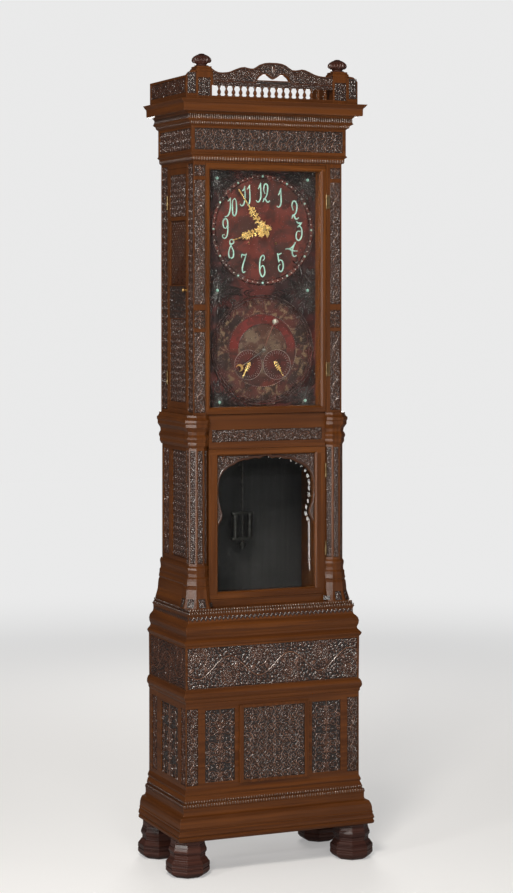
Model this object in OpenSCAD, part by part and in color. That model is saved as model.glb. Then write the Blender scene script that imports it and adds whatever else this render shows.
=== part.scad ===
// Tall case clock: carved case on octagonal feet, glazed hood and trunk doors, cusped trunk arch,
// baluster gallery, and a two-weight striking movement with a seconds pendulum.
// Millimetres, +Z up. The origin is on the floor under the middle of the feet; the dial faces -Y.

/* [Heights of the stack] */
// Height of each foot
foot_h = 117; // [105:1:130]
// Height of the base moulding
base_h = 115; // [105:1:130]
// Height of the panelled plinth
plinth_h = 320; // [290:1:360]
// Height of the rounded moulding over the plinth
torus_h = 38; // [30:1:50]
// Height of the carved band
band_h = 139; // [120:1:160]
// Height of the stepped ledge under the waist
ledge_h = 116; // [105:1:130]
// Height of the waist
waist_h = 618; // [600:1:680]
// Height of the hood
hood_h = 817; // [810:1:860]
// Height of the frieze
frieze_h = 113; // [100:1:130]
// Height of the cornice
cornice_h = 81; // [70:1:95]

/* [Case] */
// Width of the hood between its outer faces
hood_w = 524; // [520:1:560]
// Depth of the hood from its back to its front face
hood_d = 293; // [290:1:320]
// Thickness of the hood sides
side_t = 18; // [14:1:20]
// Width of the waist between its outer side faces
waist_w = 517; // [512:1:520]
// Thickness of the waist sides
waist_side_t = 13; // [11:1:16]
// Thickness of the frame behind both front doors
frame_t = 26; // [20:1:27]
// Thickness of the back board
back_t = 12; // [8:1:16]
// Half width of the hollow inside the plinth
plinth_in = 280; // [270:1:288]
// Thickness of the plinth front
plinth_front_t = 24; // [18:1:30]
// Thickness of the floor board in the base
floor_t = 20; // [14:1:26]
// Depth of the recesses that hold the carving
carve_t = 4; // [3:0.5:5]

/* [Feet] */
// Width of a foot across its flats
foot_w = 130; // [120:1:140]
// Distance of the foot centres from the middle
foot_x = 289; // [275:1:300]
// Depth of the front foot centres
foot_front_d = 311; // [300:1:320]
// Depth of the back foot centres
foot_back_d = 54; // [50:1:70]

/* [Corner pilasters] */
// Width of the octagonal shaft across its flats
shaft_w = 63; // [60:1:64]
// Distance of the shaft centres from the middle
shaft_x = 240.7; // [240:0.1:243]
// How far the pilasters' middle stands behind the hood's front
shaft_d = 27.3; // [26:0.1:28]

/* [Hood door] */
// Left edge of the door, from the middle
door_left = 218; // [214:1:219]
// Right edge of the door, from the middle
door_right = 205; // [202:1:205]
// Height of the door
door_h = 809; // [780:1:812]
// Thickness of the door
door_t = 22; // [18:1:22]
// Width of the door's stiles
stile_w = 15.5; // [13:0.5:18]
// Height of the door's bottom rail
rail_low_h = 21; // [18:1:26]
// Height of the door's top rail
rail_top_h = 20; // [16:1:24]
// Thickness of the glass in both front doors
glass_t = 4; // [3:0.5:5]
// Width of the ledge that holds each glass
rebate = 4; // [3:0.5:5]

/* [Trunk door] */
// Half width of the trunk door
trunk_door_x = 206; // [200:1:206]
// Height of the trunk door
trunk_door_h = 483; // [470:1:490]
// Height of the door's lower edge over the ledge
trunk_door_up = 24; // [20:1:30]
// Half width of the opening in the trunk door
trunk_open_x = 172; // [168:1:178]
// Height of the door's rails
trunk_rail_h = 22; // [18:1:26]
// Thickness of the carved arch board
arch_t = 7; // [5:0.5:8]
// Height of the arch board
arch_h = 232; // [225:1:240]
// Half width of the arch at its springing
arch_x = 155; // [150:1:160]

/* [Side doors] */
// Depth of the hinge edge of the side doors
side_door_back = 67; // [64:1:72]
// Depth of the free edge of the side doors
side_door_front = 235; // [225:1:238]
// Height of the side doors
side_door_h = 780; // [740:1:788]
// Depth of the window's hinge edge
window_back = 82; // [80:1:90]
// Depth of the window's free edge
window_front = 223; // [205:1:224]
// Height of the side window over the hood's lower edge
window_up = 418; // [400:1:430]
// Height of the side window
window_h = 211; // [190:1:230]

/* [Gallery] */
// Half width of the gallery
gallery_x = 302; // [298:0.5:304]
// Depth of the gallery's front face
gallery_d = 332; // [328:0.5:334]
// Thickness of the gallery boards
gallery_t = 11; // [9:0.5:14]
// Height of the fillet under the balusters
fillet_h = 13; // [10:1:16]
// Height of the balusters
baluster_h = 32; // [28:1:38]
// Distance between two balusters
baluster_pitch = 25; // [24.6:0.1:25.4]
// Number of balusters
baluster_n = 16; // [12:2:16]
// Width of a gallery post
post_w = 52; // [48:1:54]
// Distance of the post centres from the middle
post_x = 240; // [236:1:244]
// Height of a gallery post
post_h = 106; // [100:1:112]
// Diameter of a finial
finial_dia = 64; // [56:1:68]
// Height of a finial
finial_h = 42; // [38:1:50]

/* [Dial] */
// Height of the hands' centre over the hood's lower edge
dial_up = 600; // [596:1:604]
// How far the dial's face stands behind the hood's front
dial_d = 51; // [51:0.5:52]
// Thickness of the dial plate
dial_t = 3; // [2:0.5:4]
// Radius of the ring round the hours
hour_ring_r = 174; // [168:1:178]
// Distance of the lower dial's centre under the hands' centre
lower_drop = 394.5; // [390:0.5:398]
// Radius of the lower dial's outer ring
lower_ring_r = 170; // [160:1:172]
// Outer radius of the moon window
moon_out_r = 116; // [112:1:118]
// Inner radius of the moon window
moon_in_r = 86; // [82:1:90]
// Radius at which the moon ball travels
moon_r = 101; // [98:1:104]
// Diameter of the moon ball
ball_dia = 20; // [16:1:20]
// Length of the minute hand
minute_len = 157; // [140:1:160]
// Length of the hour hand
hour_len = 112; // [100:1:118]
// Bearing of the minute hand, clockwise from twelve
minute_at = -34.1; // [-180:0.1:180]
// Bearing of the hour hand, clockwise from twelve
hour_at = -108.5; // [-180:0.1:180]
// Bearing of the moon ball, clockwise from the top
moon_at = 23.1; // [0:0.1:60]
// Bearing of the crescent at the arm's other end
crescent_at = -123.7; // [-150:0.1:-90]

/* [Movement] */
// How far the back plate's rear face stands behind the dial's face
back_plate_d = 122; // [121:0.5:124]
// How far the front plate's rear face stands behind the dial's face
front_plate_d = 37; // [36:0.5:38]
// Thickness of both plates
plate_t = 3; // [2.5:0.5:3.5]
// Distance of each winding arbor from the middle
wind_x = 48; // [47:0.5:49]
// Drop of the winding arbors under the hands' centre
wind_drop = 45; // [44:0.5:46]
// Radius of the train's arbors
arbor_r = 2.5; // [2:0.1:2.8]
// Radius of the winding arbors
wind_arbor_r = 3; // [2.8:0.1:3.2]
// Clearance between an arbor and its hole
fit = 0.05; // [0.03:0.01:0.08]
// Thickness of the train wheels
wheel_t = 3; // [2:0.5:3.5]
// Radius of the winding drums
drum_r = 13; // [12:0.5:14]
// Length of the winding drums
drum_len = 48; // [44:1:52]
// Module of the third wheel, the escape pinion and their mates
train_m = 0.8; // [0.78:0.01:0.82]
// Radius of the escape wheel
escape_r = 22; // [21:0.5:22.5]

/* [Weights and pendulum] */
// Diameter of a weight
weight_dia = 60; // [50:1:62]
// Length of a weight
weight_len = 230; // [200:1:240]
// Height of a wound weight's lower end over the floor
weight_low = 1359; // [1340:1:1370]
// Radius of the pulley in its groove
pulley_r = 18.9; // [18:0.1:19.4]
// Radius of the line
line_r = 0.8; // [0.6:0.1:0.9]
// How far the pendulum swings behind the back plate
pendulum_d = 50; // [46:1:54]
// Distance from the pendulum's pivot to the middle of its jars
pendulum_len = 1056; // [1040:1:1070]
// Height of a jar
jar_h = 77; // [70:1:90]
// Radius of a jar
jar_r = 9; // [8:0.5:11]
// Distance of the jars from the rod
jar_x = 27; // [22:1:30]

/* [Hidden] */
$fn = 48;

// Levels, from the floor up
base_z = foot_h;
plinth_z = base_z + base_h;
torus_z = plinth_z + plinth_h;
band_z = torus_z + torus_h;
ledge_z = band_z + band_h;
waist_z = ledge_z + ledge_h;
hood_z = waist_z + waist_h;
frieze_z = hood_z + hood_h;
cornice_z = frieze_z + frieze_h;
top_z = cornice_z + cornice_h;

// Case frame: the back plane is y = 0 there and depths run forwards
back_y = (foot_front_d + foot_back_d) / 2;
core_x = hood_w / 2;
inner_x = core_x - side_t;
waist_x = waist_w / 2;
plinth_out = 42.7;
frame_front = hood_d - door_t - 1;
dial_face = hood_d - dial_d;
back_plate = dial_face - back_plate_d;
front_plate = dial_face - front_plate_d;
swing_d = back_plate - pendulum_d;
shaft_mid = hood_d - shaft_d;
frame_back = dial_face;
gap = 0.3;

// Dial, movement and weight places, as [x, z]
dial_z = hood_z + dial_up;
lower_z = dial_z - lower_drop;
centre_p = [0, dial_z];
time_p = [wind_x, dial_z - wind_drop];
strike_p = [-wind_x, dial_z - wind_drop];
great_n = 96;
centre_pinion_n = 12;
great_m = 2 * norm(time_p - centre_p) / (great_n + centre_pinion_n);
centre_n = 80;
third_pinion_n = 10;
third_n = 75;
escape_pinion_n = 10;
third_reach = train_m * (centre_n + third_pinion_n) / 2;
escape_reach = train_m * (third_n + escape_pinion_n) / 2;
escape_up = 40;
third_dz = (third_reach * third_reach - escape_reach * escape_reach + escape_up * escape_up) / (2 * escape_up);
third_p = centre_p + [sqrt(third_reach * third_reach - third_dz * third_dz), third_dz];
escape_p = centre_p + [0, escape_up];
pallet_gap = 1.2;
anchor_p = escape_p + [0, escape_r * 1.41];
strike_pinion_n = 12;
pin_reach = great_m * (great_n + strike_pinion_n) / 2;
pin_p = strike_p + pin_reach * [sin(-15), cos(-15)];
hammer_p = pin_p + [-19, 36.4];
motion_drop = 36;
motion_p = centre_p - [0, motion_drop];
cannon_n = 24;
minute_n = 72;
hour_pinion_n = 18;
hour_n = 72;
minute_m = 2 * motion_drop / (cannon_n + minute_n);
hour_m = 2 * motion_drop / (hour_pinion_n + hour_n);
moon_n = 30;
calendar_n = 54;
calendar_m = 1.65;
lower_p = [0, lower_z];
calendar_reach = calendar_m * (moon_n + calendar_n) / 2;
calendar_p = [calendar_reach * sin(47), lower_z - calendar_reach * cos(47)];
drum_d = back_plate + 21;
line_d = drum_d + drum_len / 2;
line_off = drum_r + line_r + gap;
line_x = wind_x - line_off;
pulley_x = line_x + pulley_r + line_r + gap;
tie_x = 2 * pulley_x - line_x;
pulley_z = weight_low + weight_len + 35;
line_top = dial_z - wind_drop - 3;
pivot_z = anchor_p[1];
jar_z = pivot_z - pendulum_len;
seat_z = dial_z - 113;

// Moulding outlines: each point is [projection beyond the hood's faces, height in the moulding]
base_pts = [[75, 0], [80, 4], [80.5, 11], [77.5, 15], [81, 21], [78.8, 30], [76.3, 35], [77.5, 40],
  [75.6, 43], [75, 56], [72.6, 65.5], [67.7, 75], [57.9, 78.5], [55.5, 85], [55.5, 99],
  [57.4, 105], [56, 111], [50.1, 115]];
plinth_pts = [[50.1, 0], [51.3, 4], [49.4, 12], [45.2, 21], [48.1, 28], [46, 34], [42.7, 42],
  [42.7, 315], [45.2, 320]];
torus_pts = [[45.2, 0], [45.7, 7], [50.1, 14], [50.9, 19], [50, 27], [48.1, 32], [44.5, 38]];
ledge_pts = [[43.9, 0], [48.1, 6], [50.1, 12.5], [44.4, 19], [39, 25], [38.3, 31], [42, 41],
  [43.2, 51], [40.8, 61], [35.8, 67], [29.7, 73], [28, 80], [28.4, 93], [32.1, 100],
  [29.7, 101.5], [24.5, 109], [25.5, 112], [25.5, 116]];
foot_pts = [[-20, 0], [-7, 8], [0, 17], [0, 29], [-1.5, 31], [0, 33], [0, 45], [-4, 50], [-9, 58],
  [-13, 62], [-13, 71], [-9, 79], [-9, 86], [-12.5, 95], [-15, 105], [-15, 117]];
shaft_low_pts = [[22, 0], [21, 3], [16, 19], [12.4, 32], [11.2, 48], [10, 60], [6.7, 68], [8.7, 73],
  [7.5, 79], [6.2, 86], [6.2, 94], [2.5, 100], [2.5, 110], [4.5, 122], [3.8, 128], [0, 134]];
shaft_top_pts = [[0, 0], [5, 9], [5.5, 14], [5, 19], [8.7, 29], [7.5, 35], [2.5, 43], [3.8, 53],
  [12.9, 67], [12.9, 77], [15.6, 82], [15.6, 90], [11.2, 93], [7.5, 99.5], [7.5, 106]];
shaft_low_h = 134;
shaft_top_h = 106;
frieze_pts = [[1.3, 0], [7, 5], [7.5, 17], [13.7, 21.5], [13.7, 24], [10.7, 27], [10.7, 113]];
cornice_pts = [[11.2, 0], [18.6, 5.5], [21, 12], [29.7, 17], [23.5, 30], [26, 35], [32, 41],
  [51.8, 43.6], [53, 48], [53, 63], [54, 68], [59, 73], [64.1, 80], [64.1, 81]];

// The outline's heights drawn out to height h
function drawn(pts, h) = [for (q = pts) [q[0], q[1] * h / pts[len(pts) - 1][1]]];
// Angle from point p to point q, clockwise from straight up
function bearing(p, q) = atan2(q[0] - p[0], q[1] - p[1]);
function polar(r, a) = [r * sin(a), r * cos(a)];
function mirrored(pts) = [for (i = [len(pts) - 1:-1:0]) [-pts[i][0], pts[i][1]]];
// A wheel's teeth: straight flanks, cut with room to run
function teeth(n, m, turn) = [for (i = [0:n - 1]) for (k = [0:3])
  polar(m * (n / 2 + ((k == 0 || k == 3) ? -1.2 : 0.9)),
    turn + (i + [-0.24, -0.1, 0.1, 0.24][k]) * 360 / n)];

// Moves a piece drawn from the back plane into the clock's frame
module placed() translate([0, back_y, 0]) children();
module both_sides() {
  children();
  mirror([1, 0, 0]) children();
}
// A box between two x values, two depths and two heights
module box(x0, x1, d0, d1, z0, z1) translate([x0, -d1, z0]) cube([x1 - x0, d1 - d0, z1 - z0]);
// A flat shape, drawn in x and z, between two depths
module layer(d0, d1) translate([0, -d0, 0]) rotate([90, 0, 0]) linear_extrude(d1 - d0) children();
// A round bar from the back plane towards the front
module rod(p, r, d0, d1) translate([p[0], -d0, p[1]]) rotate([90, 0, 0]) cylinder(h = d1 - d0, r = r);
// A moulding mitred round the front and both sides, flat at the back
module mitred(pts, z0) translate([0, 0, z0]) intersection() {
  right = [for (q = pts) [core_x + q[0], q[1]]];
  rotate([90, 0, 0]) linear_extrude(2 * hood_d) polygon(concat(right, mirrored(right)));
  translate([-2 * core_x, 0, 0]) rotate([90, 0, 90]) linear_extrude(4 * core_x)
    polygon(concat([for (q = pts) [-hood_d - q[0], q[1]]], [[0, pts[len(pts) - 1][1]], [0, pts[0][1]]]));
}
// One of the two crossing slabs that cut a square post
module crossing(pts, half, a) rotate([0, 0, a]) rotate([90, 0, 0]) linear_extrude(300, center = true)
  polygon(concat([for (q = pts) [half + q[0], q[1]]], mirrored([for (q = pts) [half + q[0], q[1]]])));
// An octagonal turning with flats to the front and sides; each point grows the half width
module octagon(pts, half) rotate([0, 0, 22.5]) rotate_extrude($fn = 8)
  polygon(concat([[0, pts[0][1]]], [for (q = pts) [(half + q[0]) / cos(22.5), q[1]]],
    [[0, pts[len(pts) - 1][1]]]));

// Feet
module foot(x, d) translate([x, -d, 0]) octagon(drawn(foot_pts, foot_h), foot_w / 2);
module foot_front_left() color("#5a2413") placed() foot(-foot_x, foot_front_d);
module foot_front_right() color("#5a2413") placed() foot(foot_x, foot_front_d);
module foot_back_left() color("#5a2413") placed() foot(-foot_x, foot_back_d);
module foot_back_right() color("#5a2413") placed() foot(foot_x, foot_back_d);

// Plinth
module plinth_hollow(z0, z1) box(-plinth_in, plinth_in, -1, hood_d + plinth_out - plinth_front_t, z0, z1);
module base_moulding() color("#6b2f17") placed() difference() {
  mitred(drawn(base_pts, base_h), base_z);
  plinth_hollow(base_z + floor_t, plinth_z + 1);
}
field_low = 61;
field_h = 231;
module plinth_fields() {
  d1 = hood_d + plinth_out;
  x1 = core_x + plinth_out;
  z0 = plinth_z + field_low;
  z1 = z0 + field_h;
  both_sides() {
    box(x1 - 42, x1 - 3, d1 - carve_t, d1 + 1, z0 - 6, z1 + 6);
    box(x1 - 169, x1 - 66, d1 - carve_t, d1 + 1, z0, z1);
    box(x1 - carve_t, x1 + 1, 27, 74, z0 - 6, z1 + 6);
    box(x1 - carve_t, x1 + 1, 112, d1 - 73.7, z0, z1);
    box(x1 - carve_t, x1 + 1, d1 - 47.7, d1 - 5.7, z0 - 6, z1 + 6);
  }
}
module plinth_case() color("#6b2f17") placed() difference() {
  mitred(drawn(plinth_pts, plinth_h), plinth_z);
  plinth_hollow(plinth_z - 1, torus_z + 1);
  plinth_fields();
}
panel_x = 121.7;
module plinth_centre_panel() color("#5a2413") placed() difference() {
  z0 = plinth_z + field_low;
  d0 = hood_d + plinth_out;
  box(-panel_x, panel_x, d0, d0 + 7, z0 - 9, z0 + field_h + 9);
  box(14 - panel_x, panel_x - 14, d0 + 7 - carve_t, d0 + 8, z0, z0 + field_h);
}
module plinth_torus() color("#6b2f17") placed() difference() {
  mitred(drawn(torus_pts, torus_h), torus_z);
  plinth_hollow(torus_z - 1, band_z + 1);
}
module plinth_band() color("#5a2413") placed() difference() {
  mitred([[plinth_out, 0], [43.9, band_h]], band_z);
  plinth_hollow(band_z - 1, ledge_z + 1);
  box(-299, 299, hood_d + 43.9 - carve_t, hood_d + 60, band_z + 4, ledge_z - 5);
  both_sides() box(core_x + 43.9 - carve_t, core_x + 60, 8, hood_d + 38, band_z + 4, ledge_z - 5);
}
deck_t = 20;
lid_t = 18;
module waist_ledge() color("#6b2f17") placed() difference() {
  mitred(drawn(ledge_pts, ledge_h), ledge_z);
  plinth_hollow(ledge_z - 1, waist_z - deck_t);
  box(-waist_x + waist_side_t + 4, waist_x - waist_side_t - 4, -1, frame_low_d, ledge_z, waist_z + 1);
}

// Waist
waist_front = hood_d - 31;
frame_low_d = waist_front - frame_t;
trunk_door_z = waist_z + trunk_door_up;
shaft_fit = 0.05;
module shaft_prism(z0, z1) both_sides() translate([shaft_x, -shaft_mid, z0]) linear_extrude(z1 - z0)
  polygon([for (a = [22.5:45:337.5]) (shaft_w / 2 + shaft_fit) / cos(22.5) * [cos(a), sin(a)]]);
module waist_corner() difference() {
  box(-waist_x, waist_x, -1, waist_front, waist_z - 1, hood_z + 1);
  shaft_prism(waist_z - 2, hood_z + 2);
}
module waist_case() color("#6b2f17") placed() difference() {
  union() {
    both_sides() box(waist_x - waist_side_t, waist_x, 0, waist_front, waist_z, hood_z);
    box(-waist_x, waist_x, frame_low_d, waist_front, waist_z, hood_z);
    box(-trunk_door_x, trunk_door_x, waist_front, hood_d - 8, trunk_door_z + trunk_door_h + 1, hood_z);
    box(-trunk_door_x, trunk_door_x, waist_front, hood_d - 8, waist_z, trunk_door_z - 1);
  }
  shaft_prism(waist_z - 1, hood_z + 1);
  box(-trunk_open_x - 2, trunk_open_x + 2, frame_low_d - 1, waist_front + 1,
    trunk_door_z + trunk_rail_h - 4, trunk_door_z + trunk_door_h - trunk_rail_h + 4);
  box(-195, 195, hood_d - 8 - carve_t, hood_d, hood_z - 88, hood_z - 49);
  both_sides() box(waist_x - carve_t, waist_x + 1, 12, 63, waist_z + 150, hood_z - 120);
  both_sides() box(waist_x - carve_t - 2, waist_x + 1, 90, waist_front - 44, waist_z + 150, hood_z - 120);
}
module shaft_stack() {
  low = drawn(shaft_low_pts, shaft_low_h);
  top = [for (q = drawn(shaft_top_pts, shaft_top_h)) [q[0], q[1] + waist_h - shaft_top_h]];
  translate([shaft_x, -shaft_mid, waist_z]) octagon(concat(low, top), shaft_w / 2);
}
// Sunk fields on the four open faces of a pilaster
module shaft_fields() translate([shaft_x, -shaft_mid, 0]) for (a = [-45, 0, 45, 90]) rotate([0, 0, a])
  translate([-9, -shaft_w / 2 - 1, waist_z + 142]) cube([18, 3.5, waist_h - 142 - 114]);
module pilaster() difference() {
  shaft_stack();
  waist_corner();
  shaft_fields();
  box(trunk_door_x - 30, trunk_door_x + 0.5, waist_front - 1, hood_d + 40, waist_z - 1, hood_z + 1);
}
module pilaster_left() color("#74351b") placed() mirror([1, 0, 0]) pilaster();
module pilaster_right() color("#74351b") placed() pilaster();
module waist_mouldings() color("#74351b") placed() both_sides() difference() {
  union() {
    mitred([for (q = drawn(shaft_low_pts, shaft_low_h)) [q[0], q[1]]], waist_z);
    mitred([for (q = drawn(shaft_top_pts, shaft_top_h)) [q[0], q[1]]], hood_z - shaft_top_h);
  }
  box(-core_x - 50, waist_x, -1, hood_d + 50, waist_z - 1, hood_z + 1);
  box(0, core_x + 50, shaft_mid - shaft_w / 2, hood_d + 50, waist_z - 1, hood_z + 1);
  shaft_stack();
}
module back_board() color("#4a1d0f") placed() {
  box(-plinth_in, plinth_in, 0, back_t, base_z + floor_t, waist_z - deck_t);
  box(-waist_x + waist_side_t + 4, waist_x - waist_side_t - 4, 0, back_t, waist_z - deck_t, waist_z);
  box(-inner_x, inner_x, 0, back_t, waist_z, top_z - lid_t);
}

// Hood
side_door_z = hood_z + 18;
dial_rail_h = 26;
strip_x = 221;
module carved_strips(x0, x1) for (s = [[4, 269], [275, 339], [352, 758], [764, 806]])
  box(x0, x1, hood_d - carve_t, hood_d + 1, hood_z + s[0] + 4, hood_z + s[1] - 2);
module hood_case() color("#6b2f17") placed() difference() {
  union() {
    both_sides() box(inner_x, core_x, 0, frame_front, hood_z, frieze_z);
    box(-core_x, core_x, frame_back, frame_front, hood_z, frieze_z);
    box(-core_x, -door_left - 1, frame_front, hood_d, hood_z, frieze_z);
    box(door_right + 2.5, core_x, frame_front, hood_d, hood_z, frieze_z);
    box(-core_x, core_x, frame_front, hood_d, hood_z + 2 + door_h + 1, frieze_z);
  }
  box(-door_left + stile_w, door_right - stile_w, frame_back - 1, frame_front + 1,
    hood_z + 2 + rail_low_h, frieze_z - dial_rail_h);
  both_sides() box(inner_x - 1, core_x + 1, side_door_back - 1, side_door_front + 1,
    side_door_z - 1, side_door_z + side_door_h + 1);
  carved_strips(-core_x + 3, -strip_x);
  carved_strips(strip_x, core_x - 3);
  both_sides() box(core_x - carve_t, core_x + 1, 3, 58, hood_z + 8, frieze_z - 8);
  both_sides() box(core_x - carve_t, core_x + 1, side_door_front + 6, hood_d - 5, hood_z + 8, frieze_z - 8);
}
module frieze() color("#5a2413") placed() difference() {
  mitred(drawn(frieze_pts, frieze_h), frieze_z);
  box(-inner_x, inner_x, -1, frame_front - 4, frieze_z - 1, cornice_z + 1);
  box(-core_x, core_x, hood_d + 10.7 - carve_t, hood_d + 20, frieze_z + 36, cornice_z - 8);
  both_sides() box(core_x + 10.7 - carve_t, core_x + 20, 12, hood_d, frieze_z + 36, cornice_z - 8);
}
module cornice() color("#6b2f17") placed() difference() {
  mitred(drawn(cornice_pts, cornice_h), cornice_z);
  box(-inner_x, inner_x, -1, frame_front - 4, cornice_z - 1, top_z - lid_t);
}

// Gallery
rail_z = top_z + fillet_h;
crest_z = rail_z + baluster_h;
gallery_in = gallery_d - gallery_t;
module gallery_rail() color("#5a2413") placed() difference() {
  box(-gallery_x, gallery_x, 0, gallery_d, top_z, rail_z);
  box(-gallery_x + gallery_t + 5, gallery_x - gallery_t - 5, -1, gallery_in - 8, top_z - 1, rail_z + 1);
  both_sides() box(post_x - post_w / 2, post_x + post_w / 2, gallery_d - post_w, gallery_d + 1,
    top_z - 1, rail_z + 1);
}
// The wings beside the posts sweep down to the side boards
module wing() {
  x0 = post_x + post_w / 2;
  layer(gallery_in, gallery_d) polygon([[x0, rail_z], [gallery_x, rail_z], [gallery_x, top_z + 75],
    [gallery_x - 6, top_z + 83], [gallery_x - 16, top_z + 90], [x0, top_z + 93]]);
}
module gallery_sides() color("#5a2413") placed() both_sides() difference() {
  union() {
    box(gallery_x - gallery_t, gallery_x, 0, gallery_in, rail_z, top_z + 76);
    wing();
  }
  box(gallery_x - 3, gallery_x + 1, 10, gallery_d - 12, rail_z + 8, top_z + 68);
  cap_room();
}
// A turned baluster: foot, vase, neck and cap
module baluster(h) rotate_extrude($fn = 24) polygon([[0, 0], [6, 0], [6, 3], [3.4, 4.5], [5.2, 8],
  [6.6, 12], [5.6, 16], [3, 21], [2.6, 25], [4.6, 26.5], [2.8, 28], [5.6, h - 2.5], [5.6, h], [0, h]]);
module gallery_balusters() color("#74351b") placed() for (i = [0:baluster_n - 1])
  translate([(i - (baluster_n - 1) / 2) * baluster_pitch, -gallery_in - gallery_t / 2, rail_z])
    baluster(baluster_h);
// The crest's top line rises to the middle in two scrolled waves
crest_half = [[0, 101], [14, 101], [30, 99], [44, 94], [56, 86], [67, 80], [78, 79.5], [90, 81.5],
  [100, 83.5], [112, 82], [128, 76], [144, 69], [158, 65], [176, 63], [190, 63.5], [202, 68], [212, 75]];
module gallery_crest() color("#5a2413") placed() difference() {
  crest_board();
  cap_room();
}
module crest_board() {
  x1 = post_x - post_w / 2;
  up = crest_z - top_z;
  half = [for (q = crest_half) [q[0] * x1 / 212, top_z + 25 + q[1]]];
  layer(gallery_in, gallery_d) difference() {
    polygon(concat([[-x1, crest_z]], [[x1, crest_z]], [for (i = [16:-1:0]) half[i]],
      [for (i = [1:16]) [-half[i][0], half[i][1]]]));
    polygon([[-57, crest_z + 23], [57, crest_z + 23], [50, crest_z + 33], [38, crest_z + 41],
      [24, crest_z + 42], [10, crest_z + 32], [0, crest_z + 27], [-10, crest_z + 32],
      [-24, crest_z + 42], [-38, crest_z + 41], [-50, crest_z + 33]]);
  }
}
post_pts = [[0, 0], [0, 88], [2.5, 91], [2.5, 97], [-1, 101], [-1, 106]];
// Room for the cap of the post over the boards beside it
module cap_room() both_sides() box(post_x - post_w / 2 - 3, post_x + post_w / 2 + 3, gallery_d - post_w - 3,
  gallery_d + 3, top_z + post_h * 87 / 106, top_z + post_h + 9);
module gallery_post() translate([post_x, -gallery_d + post_w / 2, top_z]) difference() {
  intersection() {
    crossing(drawn(post_pts, post_h), post_w / 2, 0);
    crossing(drawn(post_pts, post_h), post_w / 2, 90);
  }
  translate([5 - post_w / 2, -post_w, 12]) cube([post_w - 10, post_w / 2 + 3, 58]);
}
module gallery_posts() color("#6b2f17") placed() both_sides() gallery_post();
module finials() color("#4a1d0f") placed() both_sides()
  translate([post_x, -gallery_d + post_w / 2, top_z + post_h]) rotate_extrude() {
    r = finial_dia / 2;
    polygon([[0, 0], [r * 0.7, 0], [r * 0.74, 3], [r * 0.5, 6], [r * 0.56, 8.5], [r * 0.86, 12],
      [r * 0.98, 17], [r, 21], [r * 0.93, 27], [r * 0.72, finial_h - 9], [r * 0.46, finial_h - 4.5],
      [r * 0.36, finial_h - 2], [r * 0.2, finial_h - 0.5], [0, finial_h]]);
  }

// A bevel round an opening, from the opening's edge at depth d0 out to e more at d1
module bevel(x0, x1, z0, z1, d0, d1, e) intersection() {
  translate([0, 0, z0 - e]) linear_extrude(z1 - z0 + 2 * e)
    polygon([[x0, -d0], [x1, -d0], [x1 + e, -d1], [x0 - e, -d1]]);
  translate([x0 - e, 0, 0]) rotate([90, 0, 90]) linear_extrude(x1 - x0 + 2 * e)
    polygon([[-d0, z0], [-d0, z1], [-d1, z1 + e], [-d1, z0 - e]]);
}

// Doors; every hinge pin stands just outside the face that the door closes against
hinge_r = 3.2;
hinge_h = 45;
bevel_e = 6;
hood_pin = [door_right + 1.2, hood_d + hinge_r + gap];
trunk_pin = [trunk_door_x + 1.2, hood_d - 8 + hinge_r + gap];
side_pin = [core_x + hinge_r + gap, side_door_back - 1];
module barrel(p, z0, h) translate([p[0], -p[1], z0]) cylinder(h = h, r = hinge_r, $fn = 24);
module hinges() color("#b08a3c") placed() {
  for (share = [0.148, 0.828]) {
    z = hood_z + share * door_h;
    barrel(hood_pin, z, hinge_h);
    box(hood_pin[0] + 1.5, hood_pin[0] + 14, hood_d, hood_d + 1.5, z, z + hinge_h);
  }
  for (share = [0.26, 0.79]) {
    z = trunk_door_z + share * trunk_door_h;
    barrel(trunk_pin, z, hinge_h);
    box(shaft_x - shaft_w / 2 - 1.2, shaft_x - shaft_w / 2, trunk_front - 18, trunk_front + 3, z, z + hinge_h);
  }
  both_sides() for (share = [0.118, 0.854]) {
    z = hood_z + share * side_door_h;
    barrel(side_pin, z, hinge_h);
    box(core_x, core_x + 1.5, side_pin[1] - 14, side_pin[1] - 1.5, z, z + hinge_h);
  }
}
module hood_door() color("#7d3d1c") placed() difference() {
  z0 = hood_z + 2;
  d0 = hood_d - door_t;
  box(-door_left, door_right, d0, hood_d, z0, z0 + door_h);
  box(-door_left + stile_w, door_right - stile_w, d0 - 1, hood_d + 1, z0 + rail_low_h, z0 + door_h - rail_top_h);
  box(-door_left + stile_w - rebate, door_right - stile_w + rebate, d0 - 1, d0 + 4 + glass_t,
    z0 + rail_low_h - rebate, z0 + door_h - rail_top_h + rebate);
  bevel(-door_left + stile_w, door_right - stile_w, z0 + rail_low_h, z0 + door_h - rail_top_h,
    hood_d - 6, hood_d + 1, bevel_e);
}
module hood_glass() color([0.8, 0.9, 0.9, 0.3]) placed() {
  z0 = hood_z + 2;
  d0 = hood_d - door_t + 4;
  box(-door_left + stile_w - rebate, door_right - stile_w + rebate, d0, d0 + glass_t,
    z0 + rail_low_h - rebate, z0 + door_h - rail_top_h + rebate);
}
trunk_back = waist_front + gap;
trunk_front = hood_d - 8;
open_z = trunk_door_z + trunk_rail_h;
open_top = trunk_door_z + trunk_door_h - trunk_rail_h;
module trunk_door() color("#7d3d1c") placed() difference() {
  box(-trunk_door_x, trunk_door_x, trunk_back, trunk_front, trunk_door_z, trunk_door_z + trunk_door_h);
  box(-trunk_open_x, trunk_open_x, trunk_back - 1, trunk_front + 1, open_z, open_top);
  box(-trunk_open_x - rebate, trunk_open_x + rebate, trunk_back - 1, trunk_back + glass_t,
    open_z - rebate, open_top + rebate);
  bevel(-trunk_open_x, trunk_open_x, open_z, open_top, trunk_front - 6, trunk_front + 1, bevel_e);
}
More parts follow.
